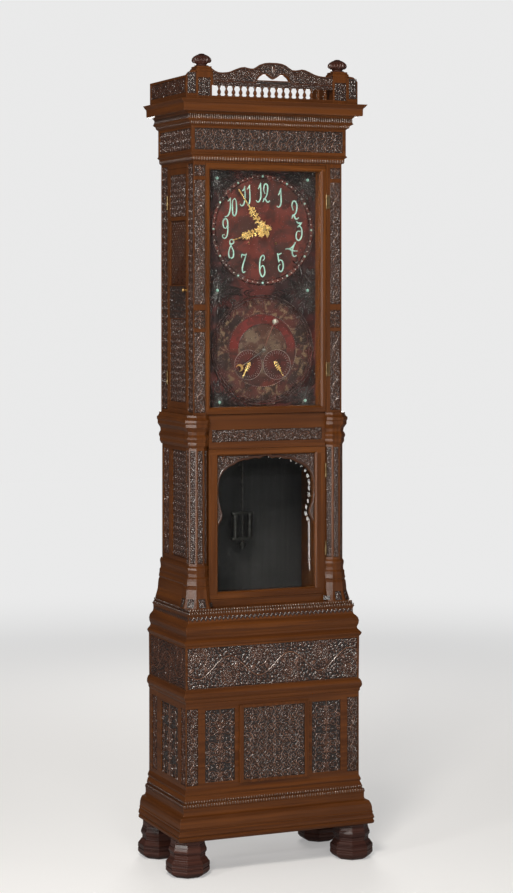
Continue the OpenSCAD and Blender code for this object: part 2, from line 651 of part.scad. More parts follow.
module trunk_glass() color([0.8, 0.9, 0.9, 0.3]) placed()
  box(-trunk_open_x - rebate, trunk_open_x + rebate, trunk_back, trunk_back + glass_t,
    open_z - rebate, open_top + rebate);
// Cusped arch: two small lobes a side rise to an ogee point, over a round shoulder that turns
// in to a neck and ends in a scrolled bracket
function bow(p, q, h, n) = [for (i = [1:n]) let (t = i / n, s = q - p, u = [-s[1], s[0]] / norm(s))
  p + s * t + u * h * 4 * t * (1 - t)];
function arch_edge() = let (
    tip = [0, open_top - 4], lobe = [-64, open_top - 16], cusp = [-112, open_top - 30],
    wide = [4 - trunk_open_x, open_top - 98], neck = [-arch_x, open_top - 186], foot = [-169, open_top - 224],
    a = [-22, open_top - 13])
  concat([tip], bow(tip, a, -2.5, 4), bow(a, lobe, -4, 6), bow(lobe, cusp, -5, 6),
    bow(cusp, wide, -15, 10), bow(wide, neck, -5, 8), bow(neck, foot, 5, 6));
module trunk_arch() color("#5a2413") placed() layer(trunk_back + glass_t, trunk_back + glass_t + arch_t)
  difference() {
    translate([-trunk_open_x, open_top - arch_h]) square([2 * trunk_open_x, arch_h]);
    edge = arch_edge();
    last = len(edge) - 1;
    polygon(concat(edge, [[-169, open_top - arch_h - 5], [169, open_top - arch_h - 5]],
      [for (i = [last:-1:1]) [-edge[i][0], edge[i][1]]]));
  }
module side_door() difference() {
  box(inner_x, core_x, side_door_back, side_door_front, side_door_z, side_door_z + side_door_h);
  box(inner_x - 1, core_x + 1, window_back, window_front, hood_z + window_up, hood_z + window_up + window_h);
  box(core_x - carve_t, core_x + 1, window_back, window_front, side_door_z + 20, hood_z + window_up - 110);
  box(core_x - carve_t, core_x + 1, window_back, window_front,
    hood_z + window_up + window_h + 12, side_door_z + side_door_h - 20);
}
// Pierced screen in the side window
module side_screen() {
  z0 = hood_z + window_up;
  n = 4;
  step = (window_front - window_back) / n;
  difference() {
    box(inner_x + 6, inner_x + 10, window_back, window_front, z0, z0 + window_h);
    for (i = [0:n - 1]) for (j = [0:floor(window_h / step) - 1])
      translate([inner_x, -window_back - (i + 0.5) * step, z0 + (j + 0.5) * step])
        rotate([0, 90, 0]) cylinder(h = 20, r = step * 0.38, $fn = 24);
  }
}
module side_door_right() color("#6b2f17") placed() union() {
  side_door();
  side_screen();
}
module side_door_left() color("#6b2f17") placed() mirror([1, 0, 0]) union() {
  side_door();
  side_screen();
}

// Movement
seat_t = 18;
seat_x = 112;
module seat_board() color("#4a1d0f") placed() difference() {
  union() {
    box(-seat_x, seat_x, back_plate - 20, front_plate + 10, seat_z - seat_t, seat_z);
    both_sides() rotate([90, 0, 90]) translate([0, 0, seat_x - 17]) linear_extrude(17)
      polygon([[-back_t, seat_z], [-back_t, seat_z - 110], [-40, seat_z - 90],
        [-front_plate + 10, seat_z - seat_t], [-back_plate + 20, seat_z - seat_t + 0.1], [-back_plate + 20, seat_z]]);
  }
  both_sides() for (x = [line_x, tie_x])
    box(x - 5, x + 5, line_d - 8, line_d + 8, seat_z - seat_t - 1, seat_z + 1);
}
plate_x = 105;
plate_top = dial_z + 86;
tie_z = line_top + 3.1;
post_z = plate_top + 5;
bell_p = [hammer_p[0] + 52, line_d - 2];
bell_z = plate_top + 22;
bell_r = 40;
module movement_frame() color("#c9a24a") placed() {
  front = front_plate + plate_t;
  difference() {
    box(-plate_x, plate_x, back_plate, back_plate + plate_t, seat_z, plate_top);
    plate_holes(back_plate);
  }
  difference() {
    box(-plate_x, plate_x, front_plate, front, seat_z, plate_top);
    plate_holes(front_plate);
  }
  for (p = [[0, seat_z + 18], [-60, plate_top - 9], [60, plate_top - 9]])
    rod(p, 5, back_plate + plate_t, front_plate);
  both_sides() rod([tie_x, tie_z], 2.5, line_d - 8, front_plate);
  rod(motion_p, 2, front, front + 15);
  // Cock that carries the pendulum's spring
  box(-12, 12, swing_d - 8, back_plate, pivot_z + 4, pivot_z + 14);
  box(-5, 5, swing_d - 4, swing_d + 4, pivot_z + gap, pivot_z + 4);
  // Stand of the bell
  box(bell_p[0] - 5, bell_p[0] + 5, back_plate, bell_p[1] + 5, plate_top, post_z);
  translate([bell_p[0], -bell_p[1], post_z]) cylinder(h = bell_z + 24 - post_z, r = 5);
  translate([bell_p[0], -bell_p[1], bell_z + 24]) cylinder(h = 12, r = 3);
}
module plate_holes(d) {
  for (p = [centre_p, third_p, escape_p, anchor_p, pin_p, hammer_p])
    rod(p, arbor_r + fit, d - 1, d + plate_t + 1);
  for (p = [time_p, strike_p]) rod(p, wind_arbor_r + fit, d - 1, d + plate_t + 1);
}
module arbor(p, d0, d1) rod(p, arbor_r, d0, d1);
// A toothed wheel with five round crossings
module wheel(p, n, m, turn, d0, t, bore) translate([p[0], 0, p[1]]) layer(d0, d0 + t) difference() {
  polygon(teeth(n, m, turn));
  if (bore > 0) circle(r = bore);
  if (n > 40) for (i = [0:4]) translate(polar(m * n * 0.29, 72 * i)) circle(r = m * n * 0.13);
}
pinion_t = 8;
great_d = back_plate + 7;
strike_great_d = back_plate + 14;
escape_wheel_d = front_plate - 21;
module drum(p, s) {
  rod(p, drum_r, drum_d, drum_d + drum_len);
  for (d = [drum_d - 2, drum_d + drum_len]) rod(p, drum_r + 5, d, d + 2);
  rod(p, wind_arbor_r, back_plate - 2, dial_face - 5);
  translate([p[0], 0, p[1]]) layer(dial_face - 5, dial_face + 3) square(4, center = true);
}
module time_drum() color("#b8923f") placed() drum(time_p);
module strike_drum() color("#b8923f") placed() drum(strike_p);
module time_great_wheel() color("#c9a24a") placed()
  wheel(time_p, great_n, great_m, bearing(time_p, centre_p), great_d, wheel_t + 1, wind_arbor_r + fit);
module strike_great_wheel() color("#c9a24a") placed()
  wheel(strike_p, great_n, great_m, bearing(strike_p, pin_p), strike_great_d, wheel_t + 1, wind_arbor_r + fit);
hand_d = dial_face + 4;
module centre_wheel() color("#c9a24a") placed() {
  front = front_plate + plate_t;
  arbor(centre_p, back_plate - 1, hand_d + 7);
  wheel(centre_p, centre_pinion_n, great_m, bearing(centre_p, time_p) + 180 / centre_pinion_n, great_d - 1, 6, 0);
  wheel(centre_p, centre_n, train_m, bearing(centre_p, third_p), front_plate - 15, wheel_t, 0);
  wheel(centre_p, cannon_n, minute_m, 180, front + 3, 5, 0);
}
module third_wheel() color("#c9a24a") placed() {
  arbor(third_p, back_plate - 1, front_plate + plate_t + 1);
  wheel(third_p, third_pinion_n, train_m, bearing(third_p, centre_p) + 180 / third_pinion_n, front_plate - 16, 6, 0);
  wheel(third_p, third_n, train_m, bearing(third_p, escape_p), front_plate - 29, wheel_t, 0);
}
module escape_wheel() color("#c9a24a") placed() {
  arbor(escape_p, back_plate - 1, front_plate + plate_t + 1);
  wheel(escape_p, escape_pinion_n, train_m, bearing(escape_p, third_p) + 180 / escape_pinion_n, front_plate - 30, 6, 0);
  translate([escape_p[0], 0, escape_p[1]]) layer(escape_wheel_d, escape_wheel_d + 2) difference() {
    polygon([for (i = [0:29]) for (k = [0:3])
      polar(escape_r * [0.84, 1, 1, 0.84][k], 12 * (i + [-0.05, 0, 0.08, 0.42][k]))]);
    for (i = [0:3]) translate(polar(escape_r * 0.48, 45 + 90 * i)) circle(r = escape_r * 0.24);
  }
}
module anchor() color("#8d8f93") placed() {
  arbor(anchor_p, swing_d + 8, front_plate + plate_t + 1);
  translate([anchor_p[0], 0, anchor_p[1]]) layer(escape_wheel_d - 1, escape_wheel_d + 3) difference() {
    polygon([[-6, 5], [6, 5], [25, -9], [25, -21], [14, -21], [0, -4], [-14, -21], [-25, -21], [-25, -9]]);
    translate([0, escape_p[1] - anchor_p[1]]) circle(r = escape_r + pallet_gap);
  }
  box(-3, 3, swing_d + 9, swing_d + 12, pivot_z - 150, pivot_z);
  both_sides() box(rod_r + gap, rod_r + gap + 3, swing_d - 3, swing_d + 9, pivot_z - 150, pivot_z - 140);
  box(-rod_r - gap - 3, rod_r + gap + 3, swing_d + 9, swing_d + 12, pivot_z - 150, pivot_z - 140);
}
rod_r = 4;
// Seconds pendulum with two jars hung from a crossbar
module pendulum() color("#a9abb0") placed() {
  z0 = jar_z - jar_h / 2;
  z1 = jar_z + jar_h / 2;
  box(-4, 4, swing_d - 0.6, swing_d + 0.6, pivot_z - 40, pivot_z);
  box(-6, 6, swing_d - 4, swing_d + 4, pivot_z - 56, pivot_z - 40);
  translate([0, -swing_d, z0 - 40]) cylinder(h = pivot_z - 56 - z0 + 40, r = rod_r);
  for (z = [z0 - 8, z1]) box(-jar_x - jar_r - 3, jar_x + jar_r + 3, swing_d - 7, swing_d + 7, z, z + 8);
  both_sides() translate([jar_x, -swing_d, z0]) cylinder(h = jar_h, r = jar_r);
  translate([0, -swing_d, z0 - 30]) cylinder(h = 12, r = 12);
}
motion_d = front_plate + plate_t + 3.5;
module minute_wheel() color("#c9a24a") placed() {
  wheel(motion_p, minute_n, minute_m, 180 / minute_n, motion_d, 4, 2 + fit);
  wheel(motion_p, hour_pinion_n, hour_m, 0, motion_d + 4, 6, 2 + fit);
}
pipe_r = 4.5;
module hour_wheel() color("#c9a24a") placed() {
  wheel(centre_p, hour_n, hour_m, 180 + 180 / hour_n, motion_d + 5.5, 4, arbor_r + fit);
  difference() {
    rod(centre_p, pipe_r, motion_d + 9.5, hand_d + 2);
    rod(centre_p, arbor_r + fit, motion_d, hand_d + 3);
  }
}
// A leaf-shaped hand: boss ringed with scrolls, lobed leaf and a thin pointer
module disc(p, r, d0, d1) translate([p[0], 0, p[1]]) layer(d0, d1) circle(r = r);
module hand(len, share, at, bore, d0) translate([0, 0, dial_z]) rotate([0, at, 0]) difference() {
  leaf = len * share;
  union() {
    disc([0, 0], 8.5, d0, d0 + 2);
    for (a = [60, 120, 180, 240, 300]) disc(polar(10, a), 5.5, d0, d0 + 2);
    for (i = [0:5]) disc([(i % 2 == 0 ? 2 : -2), 14 + i * (leaf - 18) / 5], 9 - i * 1.2, d0, d0 + 2);
    layer(d0, d0 + 2) polygon([[-3, 0], [-3, leaf], [-1.6, leaf + 8], [-0.8, len], [0.8, len],
      [1.6, leaf + 8], [3, leaf], [3, 0]]);
  }
  disc([0, 0], bore, d0 - 1, d0 + 3);
}
module hour_hand() color("#d9b04a") placed() hand(hour_len, 0.7, hour_at, pipe_r, hand_d);
module minute_hand() color("#d9b04a") placed() hand(minute_len, 0.535, minute_at, arbor_r, hand_d + 4);
module pin_wheel() color("#c9a24a") placed() {
  arbor(pin_p, back_plate - 1, front_plate + plate_t + 1);
  wheel(pin_p, strike_pinion_n, great_m, bearing(pin_p, strike_p) + 180 / strike_pinion_n, strike_great_d - 1, 6, 0);
  wheel(pin_p, 60, train_m, 0, line_d - 14, wheel_t, 0);
  for (i = [0:7]) rod(pin_p + polar(19.5, 45 * i), 1, line_d - 11, line_d - 5);
}
// Hammer with a tail by the pins and a head beside the bell
head_z = bell_z + 8;
module hammer() color("#8d8f93") placed() {
  x = hammer_p[0];
  arbor(hammer_p, back_plate - 1, front_plate + plate_t + 1);
  box(x - 2, x + 2, line_d - 4, line_d, hammer_p[1], head_z);
  translate([x - 10, -line_d + 2, head_z]) rotate([0, 90, 0]) cylinder(h = bell_p[0] - bell_r - gap - 0.3 - x + 10, r = 7);
  layer(line_d - 9, line_d - 4) polygon([[x - 2, hammer_p[1]], [x + 2, hammer_p[1]],
    [x + 8.5, hammer_p[1] - 15], [x + 5.5, hammer_p[1] - 16]]);
}
module bell() color("#c9a24a") placed() translate([bell_p[0], -bell_p[1], bell_z]) rotate_extrude()
  polygon([[bell_r, 0], [bell_r, 6], [37, 15], [29, 22], [16, 26], [3 + fit, 27], [3 + fit, 24],
    [15, 23], [26.5, 19.5], [34, 13], [bell_r - 3, 5], [bell_r - 3, 0]]);

// Dial
bridge_x = 112;
post_r = 4;
module ring(p, r, w, h) translate([p[0], 0, p[1]]) layer(dial_face, dial_face + h) difference() {
  circle(r = r + w / 2, $fn = 96);
  circle(r = r - w / 2, $fn = 96);
}
module dial_plate() color("#4a1a17") placed() {
  difference() {
    box(-door_left + 6, door_left - 6, dial_face - dial_t, dial_face, hood_z + 10, hood_z + hood_h - 12);
    rod(centre_p, pipe_r + 1, dial_face - 9, dial_face + 9);
    for (p = [time_p, strike_p]) rod(p, 4.5, dial_face - 9, dial_face + 9);
    rod(lower_p, arbor_r + fit, dial_face - 9, dial_face + 9);
    both_sides() rod(calendar_p, arbor_r + fit, dial_face - 9, dial_face + 9);
    translate([0, 0, lower_z]) layer(dial_face - 1.2, dial_face + 1) intersection() {
      difference() {
        circle(r = moon_out_r, $fn = 96);
        circle(r = moon_in_r, $fn = 96);
      }
      translate([-moon_out_r, 6]) square([2 * moon_out_r, moon_out_r]);
    }
  }
  ring(centre_p, hour_ring_r, 8, 1.5);
  ring(lower_p, lower_ring_r, 6, 1.5);
  ring(lower_p, moon_out_r + 5, 3, 1.5);
  // Bridge that carries the lower dial's arbors
  difference() {
    box(-bridge_x, bridge_x, dial_face - 34, dial_face - 31, lower_z - 104, lower_z + 20);
    rod(lower_p, arbor_r + fit, dial_face - 40, dial_face - 20);
    both_sides() rod(calendar_p, arbor_r + fit, dial_face - 40, dial_face - 20);
  }
  both_sides() for (z = [lower_z - 98, lower_z + 14])
    rod([bridge_x - 6, z], post_r, dial_face - 31, dial_face - dial_t);
}
lower_wheel_d = dial_face - 24;
arm_d = dial_face + 6;
module moon_arm() color("#c8c9cc") placed() {
  arbor(lower_p, dial_face - 35, arm_d + 4);
  wheel(lower_p, moon_n, calendar_m, bearing(lower_p, calendar_p), lower_wheel_d, 4, 0);
  disc(lower_p, 6, arm_d, arm_d + 2);
  translate([0, 0, lower_z]) rotate([0, moon_at, 0]) layer(arm_d, arm_d + 2) translate([-1, 0]) square([2, moon_r - 4]);
  translate([0, 0, lower_z]) rotate([0, crescent_at, 0]) {
    layer(arm_d, arm_d + 2) translate([-1, 0]) square([2, 92]);
    difference() {
      disc([0, 101], 12, arm_d, arm_d + 2);
      disc([0, 106], 9, arm_d - 1, arm_d + 3);
    }
  }
  translate([0, -arm_d - 4, lower_z]) sphere(r = 7);
  translate([moon_r * sin(moon_at), -dial_face - ball_dia / 2 - 4, lower_z + moon_r * cos(moon_at)])
    sphere(r = ball_dia / 2);
}
module calendar(at, slip) {
  arbor(calendar_p, dial_face - 35, dial_face + 3);
  wheel(calendar_p, calendar_n, calendar_m, bearing(calendar_p, lower_p) + 180 / calendar_n + slip,
    lower_wheel_d, 4, 0);
  translate([calendar_p[0], 0, calendar_p[1]]) rotate([0, at, 0]) {
    disc([0, 0], 4, dial_face + 2, dial_face + 3.5);
    for (i = [0:3]) disc([0, 8 + 7 * i], 4.6 - i * 0.7, dial_face + 2, dial_face + 3.5);
    layer(dial_face + 2, dial_face + 3.5) polygon([[-1.5, 0], [-0.6, 44], [0.6, 44], [1.5, 0]]);
  }
}
module calendar_right() color("#d9b04a") placed() calendar(150.3, 0);
module calendar_left() color("#d9b04a") placed() mirror([1, 0, 0])
  calendar(150.5, 2 * bearing(lower_p, calendar_p) * moon_n / calendar_n);

// Weights, pulleys and lines
pin_r = 2;
pulley_t = 7;
module weight() {
  translate([pulley_x, -line_d, weight_low]) rotate_extrude() polygon([[0, 0], [weight_dia / 2 - 3, 0],
    [weight_dia / 2, 3], [weight_dia / 2, weight_len - 3], [weight_dia / 2 - 3, weight_len],
    [6, weight_len], [4, weight_len + 3], [0, weight_len + 3]]);
  z0 = weight_low + weight_len + 3;
  both = pulley_t / 2 + gap;
  box(pulley_x - 5, pulley_x + 5, line_d - both - 2, line_d + both + 2, z0, z0 + 3);
  for (d = [line_d - both - 2, line_d + both]) box(pulley_x - 5, pulley_x + 5, d, d + 2, z0 + 3, pulley_z + 6);
  rod([pulley_x, pulley_z], pin_r, line_d - both, line_d + both);
}
module pulley() translate([pulley_x, 0, pulley_z]) difference() {
  union() {
    layer(line_d - pulley_t / 2, line_d + pulley_t / 2) circle(r = pulley_r);
    for (s = [-pulley_t / 2, pulley_t / 2 - 1.6]) layer(line_d + s, line_d + s + 1.6) circle(r = pulley_r + 4);
  }
  layer(line_d - pulley_t, line_d + pulley_t) circle(r = pin_r + fit);
}
module cable() for (x = [line_x, tie_x]) translate([x, -line_d, pulley_z])
  cylinder(h = line_top - pulley_z, r = line_r, $fn = 16);
module time_weight() color("#c9a24a") placed() weight();
module strike_weight() color("#c9a24a") placed() mirror([1, 0, 0]) weight();
module time_pulley() color("#c9a24a") placed() pulley();
module strike_pulley() color("#c9a24a") placed() mirror([1, 0, 0]) pulley();
module time_cable() color("#9a7a3a") placed() cable();
module strike_cable() color("#9a7a3a") placed() mirror([1, 0, 0]) cable();

foot_front_left();
foot_front_right();
foot_back_left();
foot_back_right();
base_moulding();
plinth_case();
plinth_centre_panel();
plinth_torus();
plinth_band();
waist_ledge();
waist_case();
pilaster_left();
pilaster_right();
waist_mouldings();
back_board();
hood_case();
frieze();
cornice();
gallery_sides();
gallery_rail();
gallery_balusters();
gallery_crest();
gallery_posts();
finials();
hinges();
trunk_door();
trunk_arch();
trunk_glass();
hood_door();
hood_glass();
side_door_left();
side_door_right();
seat_board();
movement_frame();
time_drum();
strike_drum();
time_great_wheel();
strike_great_wheel();
centre_wheel();
third_wheel();
escape_wheel();
anchor();
pendulum();
minute_wheel();
hour_wheel();
hour_hand();
minute_hand();
pin_wheel();
hammer();
bell();
dial_plate();
moon_arm();
calendar_left();
calendar_right();
time_weight();
strike_weight();
time_pulley();
strike_pulley();
time_cable();
strike_cable();
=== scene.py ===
# %% [markdown]
# # Dressing a carved tall case clock
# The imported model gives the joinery: boards, mouldings, doors, wheels and hands, each at its real size.
# This lesson adds what a joiner's drawing leaves out: carving, beading, enamel, gilding and finish.
# Everything is in metres in the model's own frame, so a piece is placed by the same sizes as the boards.

# %% Load the clock
import math
import bpy
import numpy as np
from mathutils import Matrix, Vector


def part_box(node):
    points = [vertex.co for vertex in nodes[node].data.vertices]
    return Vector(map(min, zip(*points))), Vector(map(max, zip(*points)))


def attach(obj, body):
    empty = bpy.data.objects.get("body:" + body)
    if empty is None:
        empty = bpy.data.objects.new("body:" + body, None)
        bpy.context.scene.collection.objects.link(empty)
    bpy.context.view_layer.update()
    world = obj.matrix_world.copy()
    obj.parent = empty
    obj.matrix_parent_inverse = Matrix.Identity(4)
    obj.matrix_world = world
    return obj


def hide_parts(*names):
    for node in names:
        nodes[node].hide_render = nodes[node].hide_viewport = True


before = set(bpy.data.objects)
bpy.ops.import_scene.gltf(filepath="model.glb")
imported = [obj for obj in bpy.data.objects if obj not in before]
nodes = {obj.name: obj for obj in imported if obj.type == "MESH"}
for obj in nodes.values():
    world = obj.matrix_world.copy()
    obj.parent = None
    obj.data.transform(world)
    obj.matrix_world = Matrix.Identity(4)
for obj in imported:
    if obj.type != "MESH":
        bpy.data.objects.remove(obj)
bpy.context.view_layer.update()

mm = 0.001
back_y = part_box("back_board")[1].y

# %% [markdown]
# ## Where the camera stands
# The clock was photographed from the left with the lens level, so its upright edges stay upright.
# A level camera with a lens shift does the same here. The place and the lens were worked out from the
# corners of the case, and nothing else in this file depends on them.

# %% Camera
camera = bpy.data.objects.new("camera", bpy.data.cameras.new("camera"))
bpy.context.scene.collection.objects.link(camera)
camera.location = (-2.838, -6.6385, 1.856)
camera.rotation_euler = (math.radians(90), 0, math.radians(-23.18))
camera.data.sensor_width = 36
camera.data.lens = 88.3
camera.data.shift_y = -0.172
bpy.context.scene.camera = camera
bpy.context.scene.view_settings.view_transform = "Standard"
print("camera", round(camera.location.length, 2), "m from the clock's foot")

# %% [markdown]
# ## Short ways to build materials
# A material in Blender is a graph of nodes. These helpers add a node and feed its inputs in one line, so
# that each finish further down reads like a recipe. A link carries what changes over the surface, and a
# plain number stays on the socket itself.

# %% Node helpers
def feed(tree, socket, value):
    """Links a socket or sets its own value. A colour given as three numbers is opaque."""
    if isinstance(value, bpy.types.NodeSocket):
        tree.links.new(value, socket)
    else:
        socket.default_value = (*value, 1) if socket.type == "RGBA" else value


def add_node(tree, kind, settings=None, **inputs):
    n = tree.nodes.new(kind)
    for k, v in (settings or {}).items():
        setattr(n, k, v)
    for k, v in inputs.items():
        feed(tree, n.inputs[int(k[1:]) if k[1:].isdigit() else k.replace("_", " ")], v)
    return n


def maths(tree, op, a, b=0.0, clamp=False):
    return add_node(tree, "ShaderNodeMath", {"operation": op, "use_clamp": clamp}, i0=a, i1=b).outputs[0]


def blend_colour(tree, factor, a, b, mode="MIX"):
    settings = {"data_type": "RGBA", "blend_type": mode}
    return add_node(tree, "ShaderNodeMix", settings, i0=factor, i6=a, i7=b).outputs[2]


def ramp(tree, value, low, high, out_low=0.0, out_high=1.0):
    return add_node(tree, "ShaderNodeMapRange", {"interpolation_type": "SMOOTHSTEP"}, Value=value,
                    From_Min=low, From_Max=high, To_Min=out_low, To_Max=out_high).outputs[0]


def vector_maths(tree, op, a, b=(0, 0, 0), output="Vector"):
    return add_node(tree, "ShaderNodeVectorMath", {"operation": op}, i0=a, i1=b).outputs[output]


def place_of(tree, axis=None):
    """Where a point lies in the model's own frame, or one of its coordinates."""
    place = add_node(tree, "ShaderNodeTexCoord").outputs["Object"]
    return add_node(tree, "ShaderNodeSeparateXYZ", Vector=place).outputs[axis] if axis else place


def noise(tree, place, scale, detail, **more):
    n = add_node(tree, "ShaderNodeTexNoise", Vector=place, Scale=scale, Detail=detail, **more)
    return n.outputs["Fac"]


def start_material(name, roughness=0.4, metallic=0.0, coat=0.0, coat_rough=0.1, specular=0.5):
    m = bpy.data.materials.new(name)
    m.use_nodes = True
    b = m.node_tree.nodes["Principled BSDF"]
    b.inputs["Roughness"].default_value = roughness
    b.inputs["Metallic"].default_value = metallic
    b.inputs["Coat Weight"].default_value = coat
    b.inputs["Coat Roughness"].default_value = coat_rough
    b.inputs["Specular IOR Level"].default_value = specular
    return m, m.node_tree, b


print("node helpers are ready, one unit is a metre:", mm, "is a millimetre")

# %% [markdown]
# ## A plain studio
# Dark polished wood shows its shape by what it reflects, so the lamps are soft and each has a job: a tall
# one at the left draws the bright lines on the slanted facets, a broad one in front shows the colour of the
# wood, small ones sparkle on the carving, a strip at the right lights the bevels of the trunk glass, and one
# behind keeps the back readable. None stands where the flat glasses would mirror it into the lens.
# The floor is pale and melts into the equally pale surroundings a few metres away.

# %% Floor and surroundings
floor_half = 14.0
fade_from, fade_to = 1.6, 6.5
seen_white, ambient_white, mirrored_white = 0.82, 0.15, 0.03


def stage_floor():
    s = floor_half
    mesh = bpy.data.meshes.new("studio_floor")
    mesh.from_pydata([(-s, -s, 0), (s, -s, 0), (s, s, 0), (-s, s, 0)], [], [(0, 1, 2, 3)])
    floor = bpy.data.objects.new("studio_floor", mesh)
    bpy.context.scene.collection.objects.link(floor)
    m, t, b = start_material("studio floor", 0.7, specular=0.1)
    fade = ramp(t, vector_maths(t, "LENGTH", place_of(t), output="Value"), fade_from, fade_to)
    in_polish = add_node(t, "ShaderNodeLightPath").outputs["Is Glossy Ray"]
    for socket, near, away, mirrored in (("Base Color", 0.62, 0.0, 0.12),
                                         ("Emission Color", 0.3, seen_white, mirrored_white)):
        tone = blend_colour(t, fade, (near,) * 3, (away,) * 3)
        t.links.new(blend_colour(t, in_polish, tone, (mirrored,) * 3), b.inputs[socket])
    b.inputs["Emission Strength"].default_value = 1.0
    mesh.materials.append(m)
    return floor


def plain_world(shown, ambient, mirrored):
    """What the lens sees, what lights the object, and what its polish mirrors."""
    world = bpy.data.worlds.new("studio")
    bpy.context.scene.world = world
    world.use_nodes = True
    t = world.node_tree
    t.nodes.clear()
    ray = add_node(t, "ShaderNodeLightPath").outputs
    seen, soft, dim = (add_node(t, "ShaderNodeBackground", Color=colour, Strength=strength).outputs[0]
                       for colour, strength in (((1, 1, 1), shown), ((1, 0.98, 0.96), ambient),
                                                ((1, 0.98, 0.96), mirrored)))
    lit = add_node(t, "ShaderNodeMixShader", i0=ray["Is Glossy Ray"], i1=soft, i2=dim).outputs[0]
    mix = add_node(t, "ShaderNodeMixShader", i0=ray["Is Camera Ray"], i1=lit, i2=seen).outputs[0]
    add_node(t, "ShaderNodeOutputWorld", Surface=mix)


stage_floor()
plain_world(seen_white, ambient_white, mirrored_white)
print("floor fades out between", fade_from, "and", fade_to, "m")

# %% Lamps
warm_white, golden_white = (1, 0.97, 0.93), (1, 0.94, 0.86)
lamps = {  # place, target, width and height, watts, colour
    "tall_left": ((-3.3, -1.5, 1.45), (0, -0.1, 1.35), (0.4, 1.9), 36, warm_white),
    "high_left": ((-2.0, -2.9, 3.9), (0, -0.1, 1.2), (0.95, 0.85), 125, golden_white),
    "broad_front": ((-0.9, -4.6, 2.6), (0, -0.1, 1.2), (1.0, 0.8), 40, warm_white),
    "sparkle": ((-2.3, -3.4, 2.0), (0, -0.1, 1.2), (0.3, 0.3), 30, warm_white),
    "low_front": ((-0.3, -4.8, 0.9), (0, -0.1, 0.8), (0.7, 0.5), 16, warm_white),
    "strip_right": ((4.02, -4.76, 1.0), (0, -0.1, 1.0), (0.5, 1.6), 30, warm_white),
    "back_fill": ((1.4, 3.6, 2.4), (0, 0.2, 1.3), (1.6, 1.6), 60, warm_white),
}
for name, (place, target, size, watts, colour) in lamps.items():
    light = bpy.data.lights.new(name, "AREA")
    light.shape = "RECTANGLE"
    light.size, light.size_y = size
    light.energy, light.color = watts, colour
    o = bpy.data.objects.new(name, light)
    bpy.context.scene.collection.objects.link(o)
    o.location = place
    o.rotation_euler = (Vector(target) - Vector(place)).to_track_quat("-Z", "Y").to_euler()
print("lamps", len(lamps))

# %% [markdown]
# ## Shared effects as node groups
# Wood grain, worn edges, the dark ground of a carving and mottled enamel each turn up in more than one
# finish. Each is built once as a node group that gives out colours and masks, and every material sets its
# own values on it. The shader itself stays in the material.

# %% New groups and their use
def new_group(name, inputs, outputs):
    g = bpy.data.node_groups.new(name, "ShaderNodeTree")
    kinds = {"c": "NodeSocketColor", "f": "NodeSocketFloat", "v": "NodeSocketVector"}
    for label, kind, value in inputs:
        s = g.interface.new_socket(name=label, in_out="INPUT", socket_type=kinds[kind])
        s.default_value = (*value, 1) if kind == "c" else value
    for label, kind in outputs:
        g.interface.new_socket(name=label, in_out="OUTPUT", socket_type=kinds[kind])
    return g, g.nodes.new("NodeGroupInput").outputs, g.nodes.new("NodeGroupOutput").inputs


def use_group(tree, group, **values):
    n = tree.nodes.new("ShaderNodeGroup")
    n.node_tree = group
    for k, v in values.items():
        feed(tree, n.inputs[k], v)
    return n


print("a group gives out colours, masks, roughness, heights or normals")

# %% [markdown]
# ### Grain
# A board's figure is long in one direction and fine across it. A noise stretched along the board gives the
# broad bands, a finer one the pores, and a slow unstretched noise the change of tone from board to board.

# %% Grain group
def grain_group():
    g, given, out = new_group("wood grain",
        [("Light", "c", (0.2, 0.07, 0.02)), ("Dark", "c", (0.06, 0.02, 0.01)), ("Stretch", "v", (3, 3, 60)),
         ("Tone", "f", 0.5)], [("Colour", "c"), ("Roughness", "f"), ("Height", "f")])
    place = place_of(g)
    along = vector_maths(g, "MULTIPLY", place, given["Stretch"])
    bands = ramp(g, noise(g, along, 1.0, 4.0, Roughness=0.6, Distortion=0.35), 0.34, 0.66)
    pores = ramp(g, noise(g, along, 7.0, 3.0, Roughness=0.7), 0.52, 0.72)
    slow = ramp(g, noise(g, place, 3.3, 2.0), 0.35, 0.68)
    tone = blend_colour(g, bands, given["Dark"], given["Light"])
    tone = blend_colour(g, maths(g, "MULTIPLY", pores, 0.45), tone, given["Dark"])
    tone = blend_colour(g, maths(g, "MULTIPLY", slow, given["Tone"]), tone, given["Dark"])
    g.links.new(tone, out["Colour"])
    for name, of_pores, of_bands in (("Roughness", 0.16, 0.05), ("Height", -0.6, 0.25)):
        both = maths(g, "ADD", maths(g, "MULTIPLY", pores, of_pores), maths(g, "MULTIPLY", bands, of_bands))
        g.links.new(both, out[name])
    return g


grain = grain_group()
print("group", grain.name)

# %% [markdown]
# ### Worn edges
# Polish and handling leave the arrises of old mouldings paler and smoother. The bevel node gives the
# normal that a rounded edge would have, and where it leans away from the real one there is an edge.

# %% Edge group
def edge_group():
    g, given, out = new_group("worn edge", [("Reach", "f", 0.0016), ("Strength", "f", 0.6)],
                              [("Mask", "f"), ("Normal", "v")])
    soft = add_node(g, "ShaderNodeBevel", {"samples": 4}, Radius=given["Reach"]).outputs[0]
    real = add_node(g, "ShaderNodeNewGeometry").outputs["Normal"]
    bend = maths(g, "SUBTRACT", 1.0, vector_maths(g, "DOT_PRODUCT", soft, real, "Value"), clamp=True)
    rub = noise(g, place_of(g), 38.0, 3.0)
    mask = maths(g, "MULTIPLY", ramp(g, bend, 0.02, 0.3), ramp(g, rub, 0.3, 0.6, 0.35, 1.0))
    g.links.new(maths(g, "MULTIPLY", mask, given["Strength"]), out["Mask"])
    g.links.new(soft, out["Normal"])
    return g


worn_edge = edge_group()
print("group", worn_edge.name)

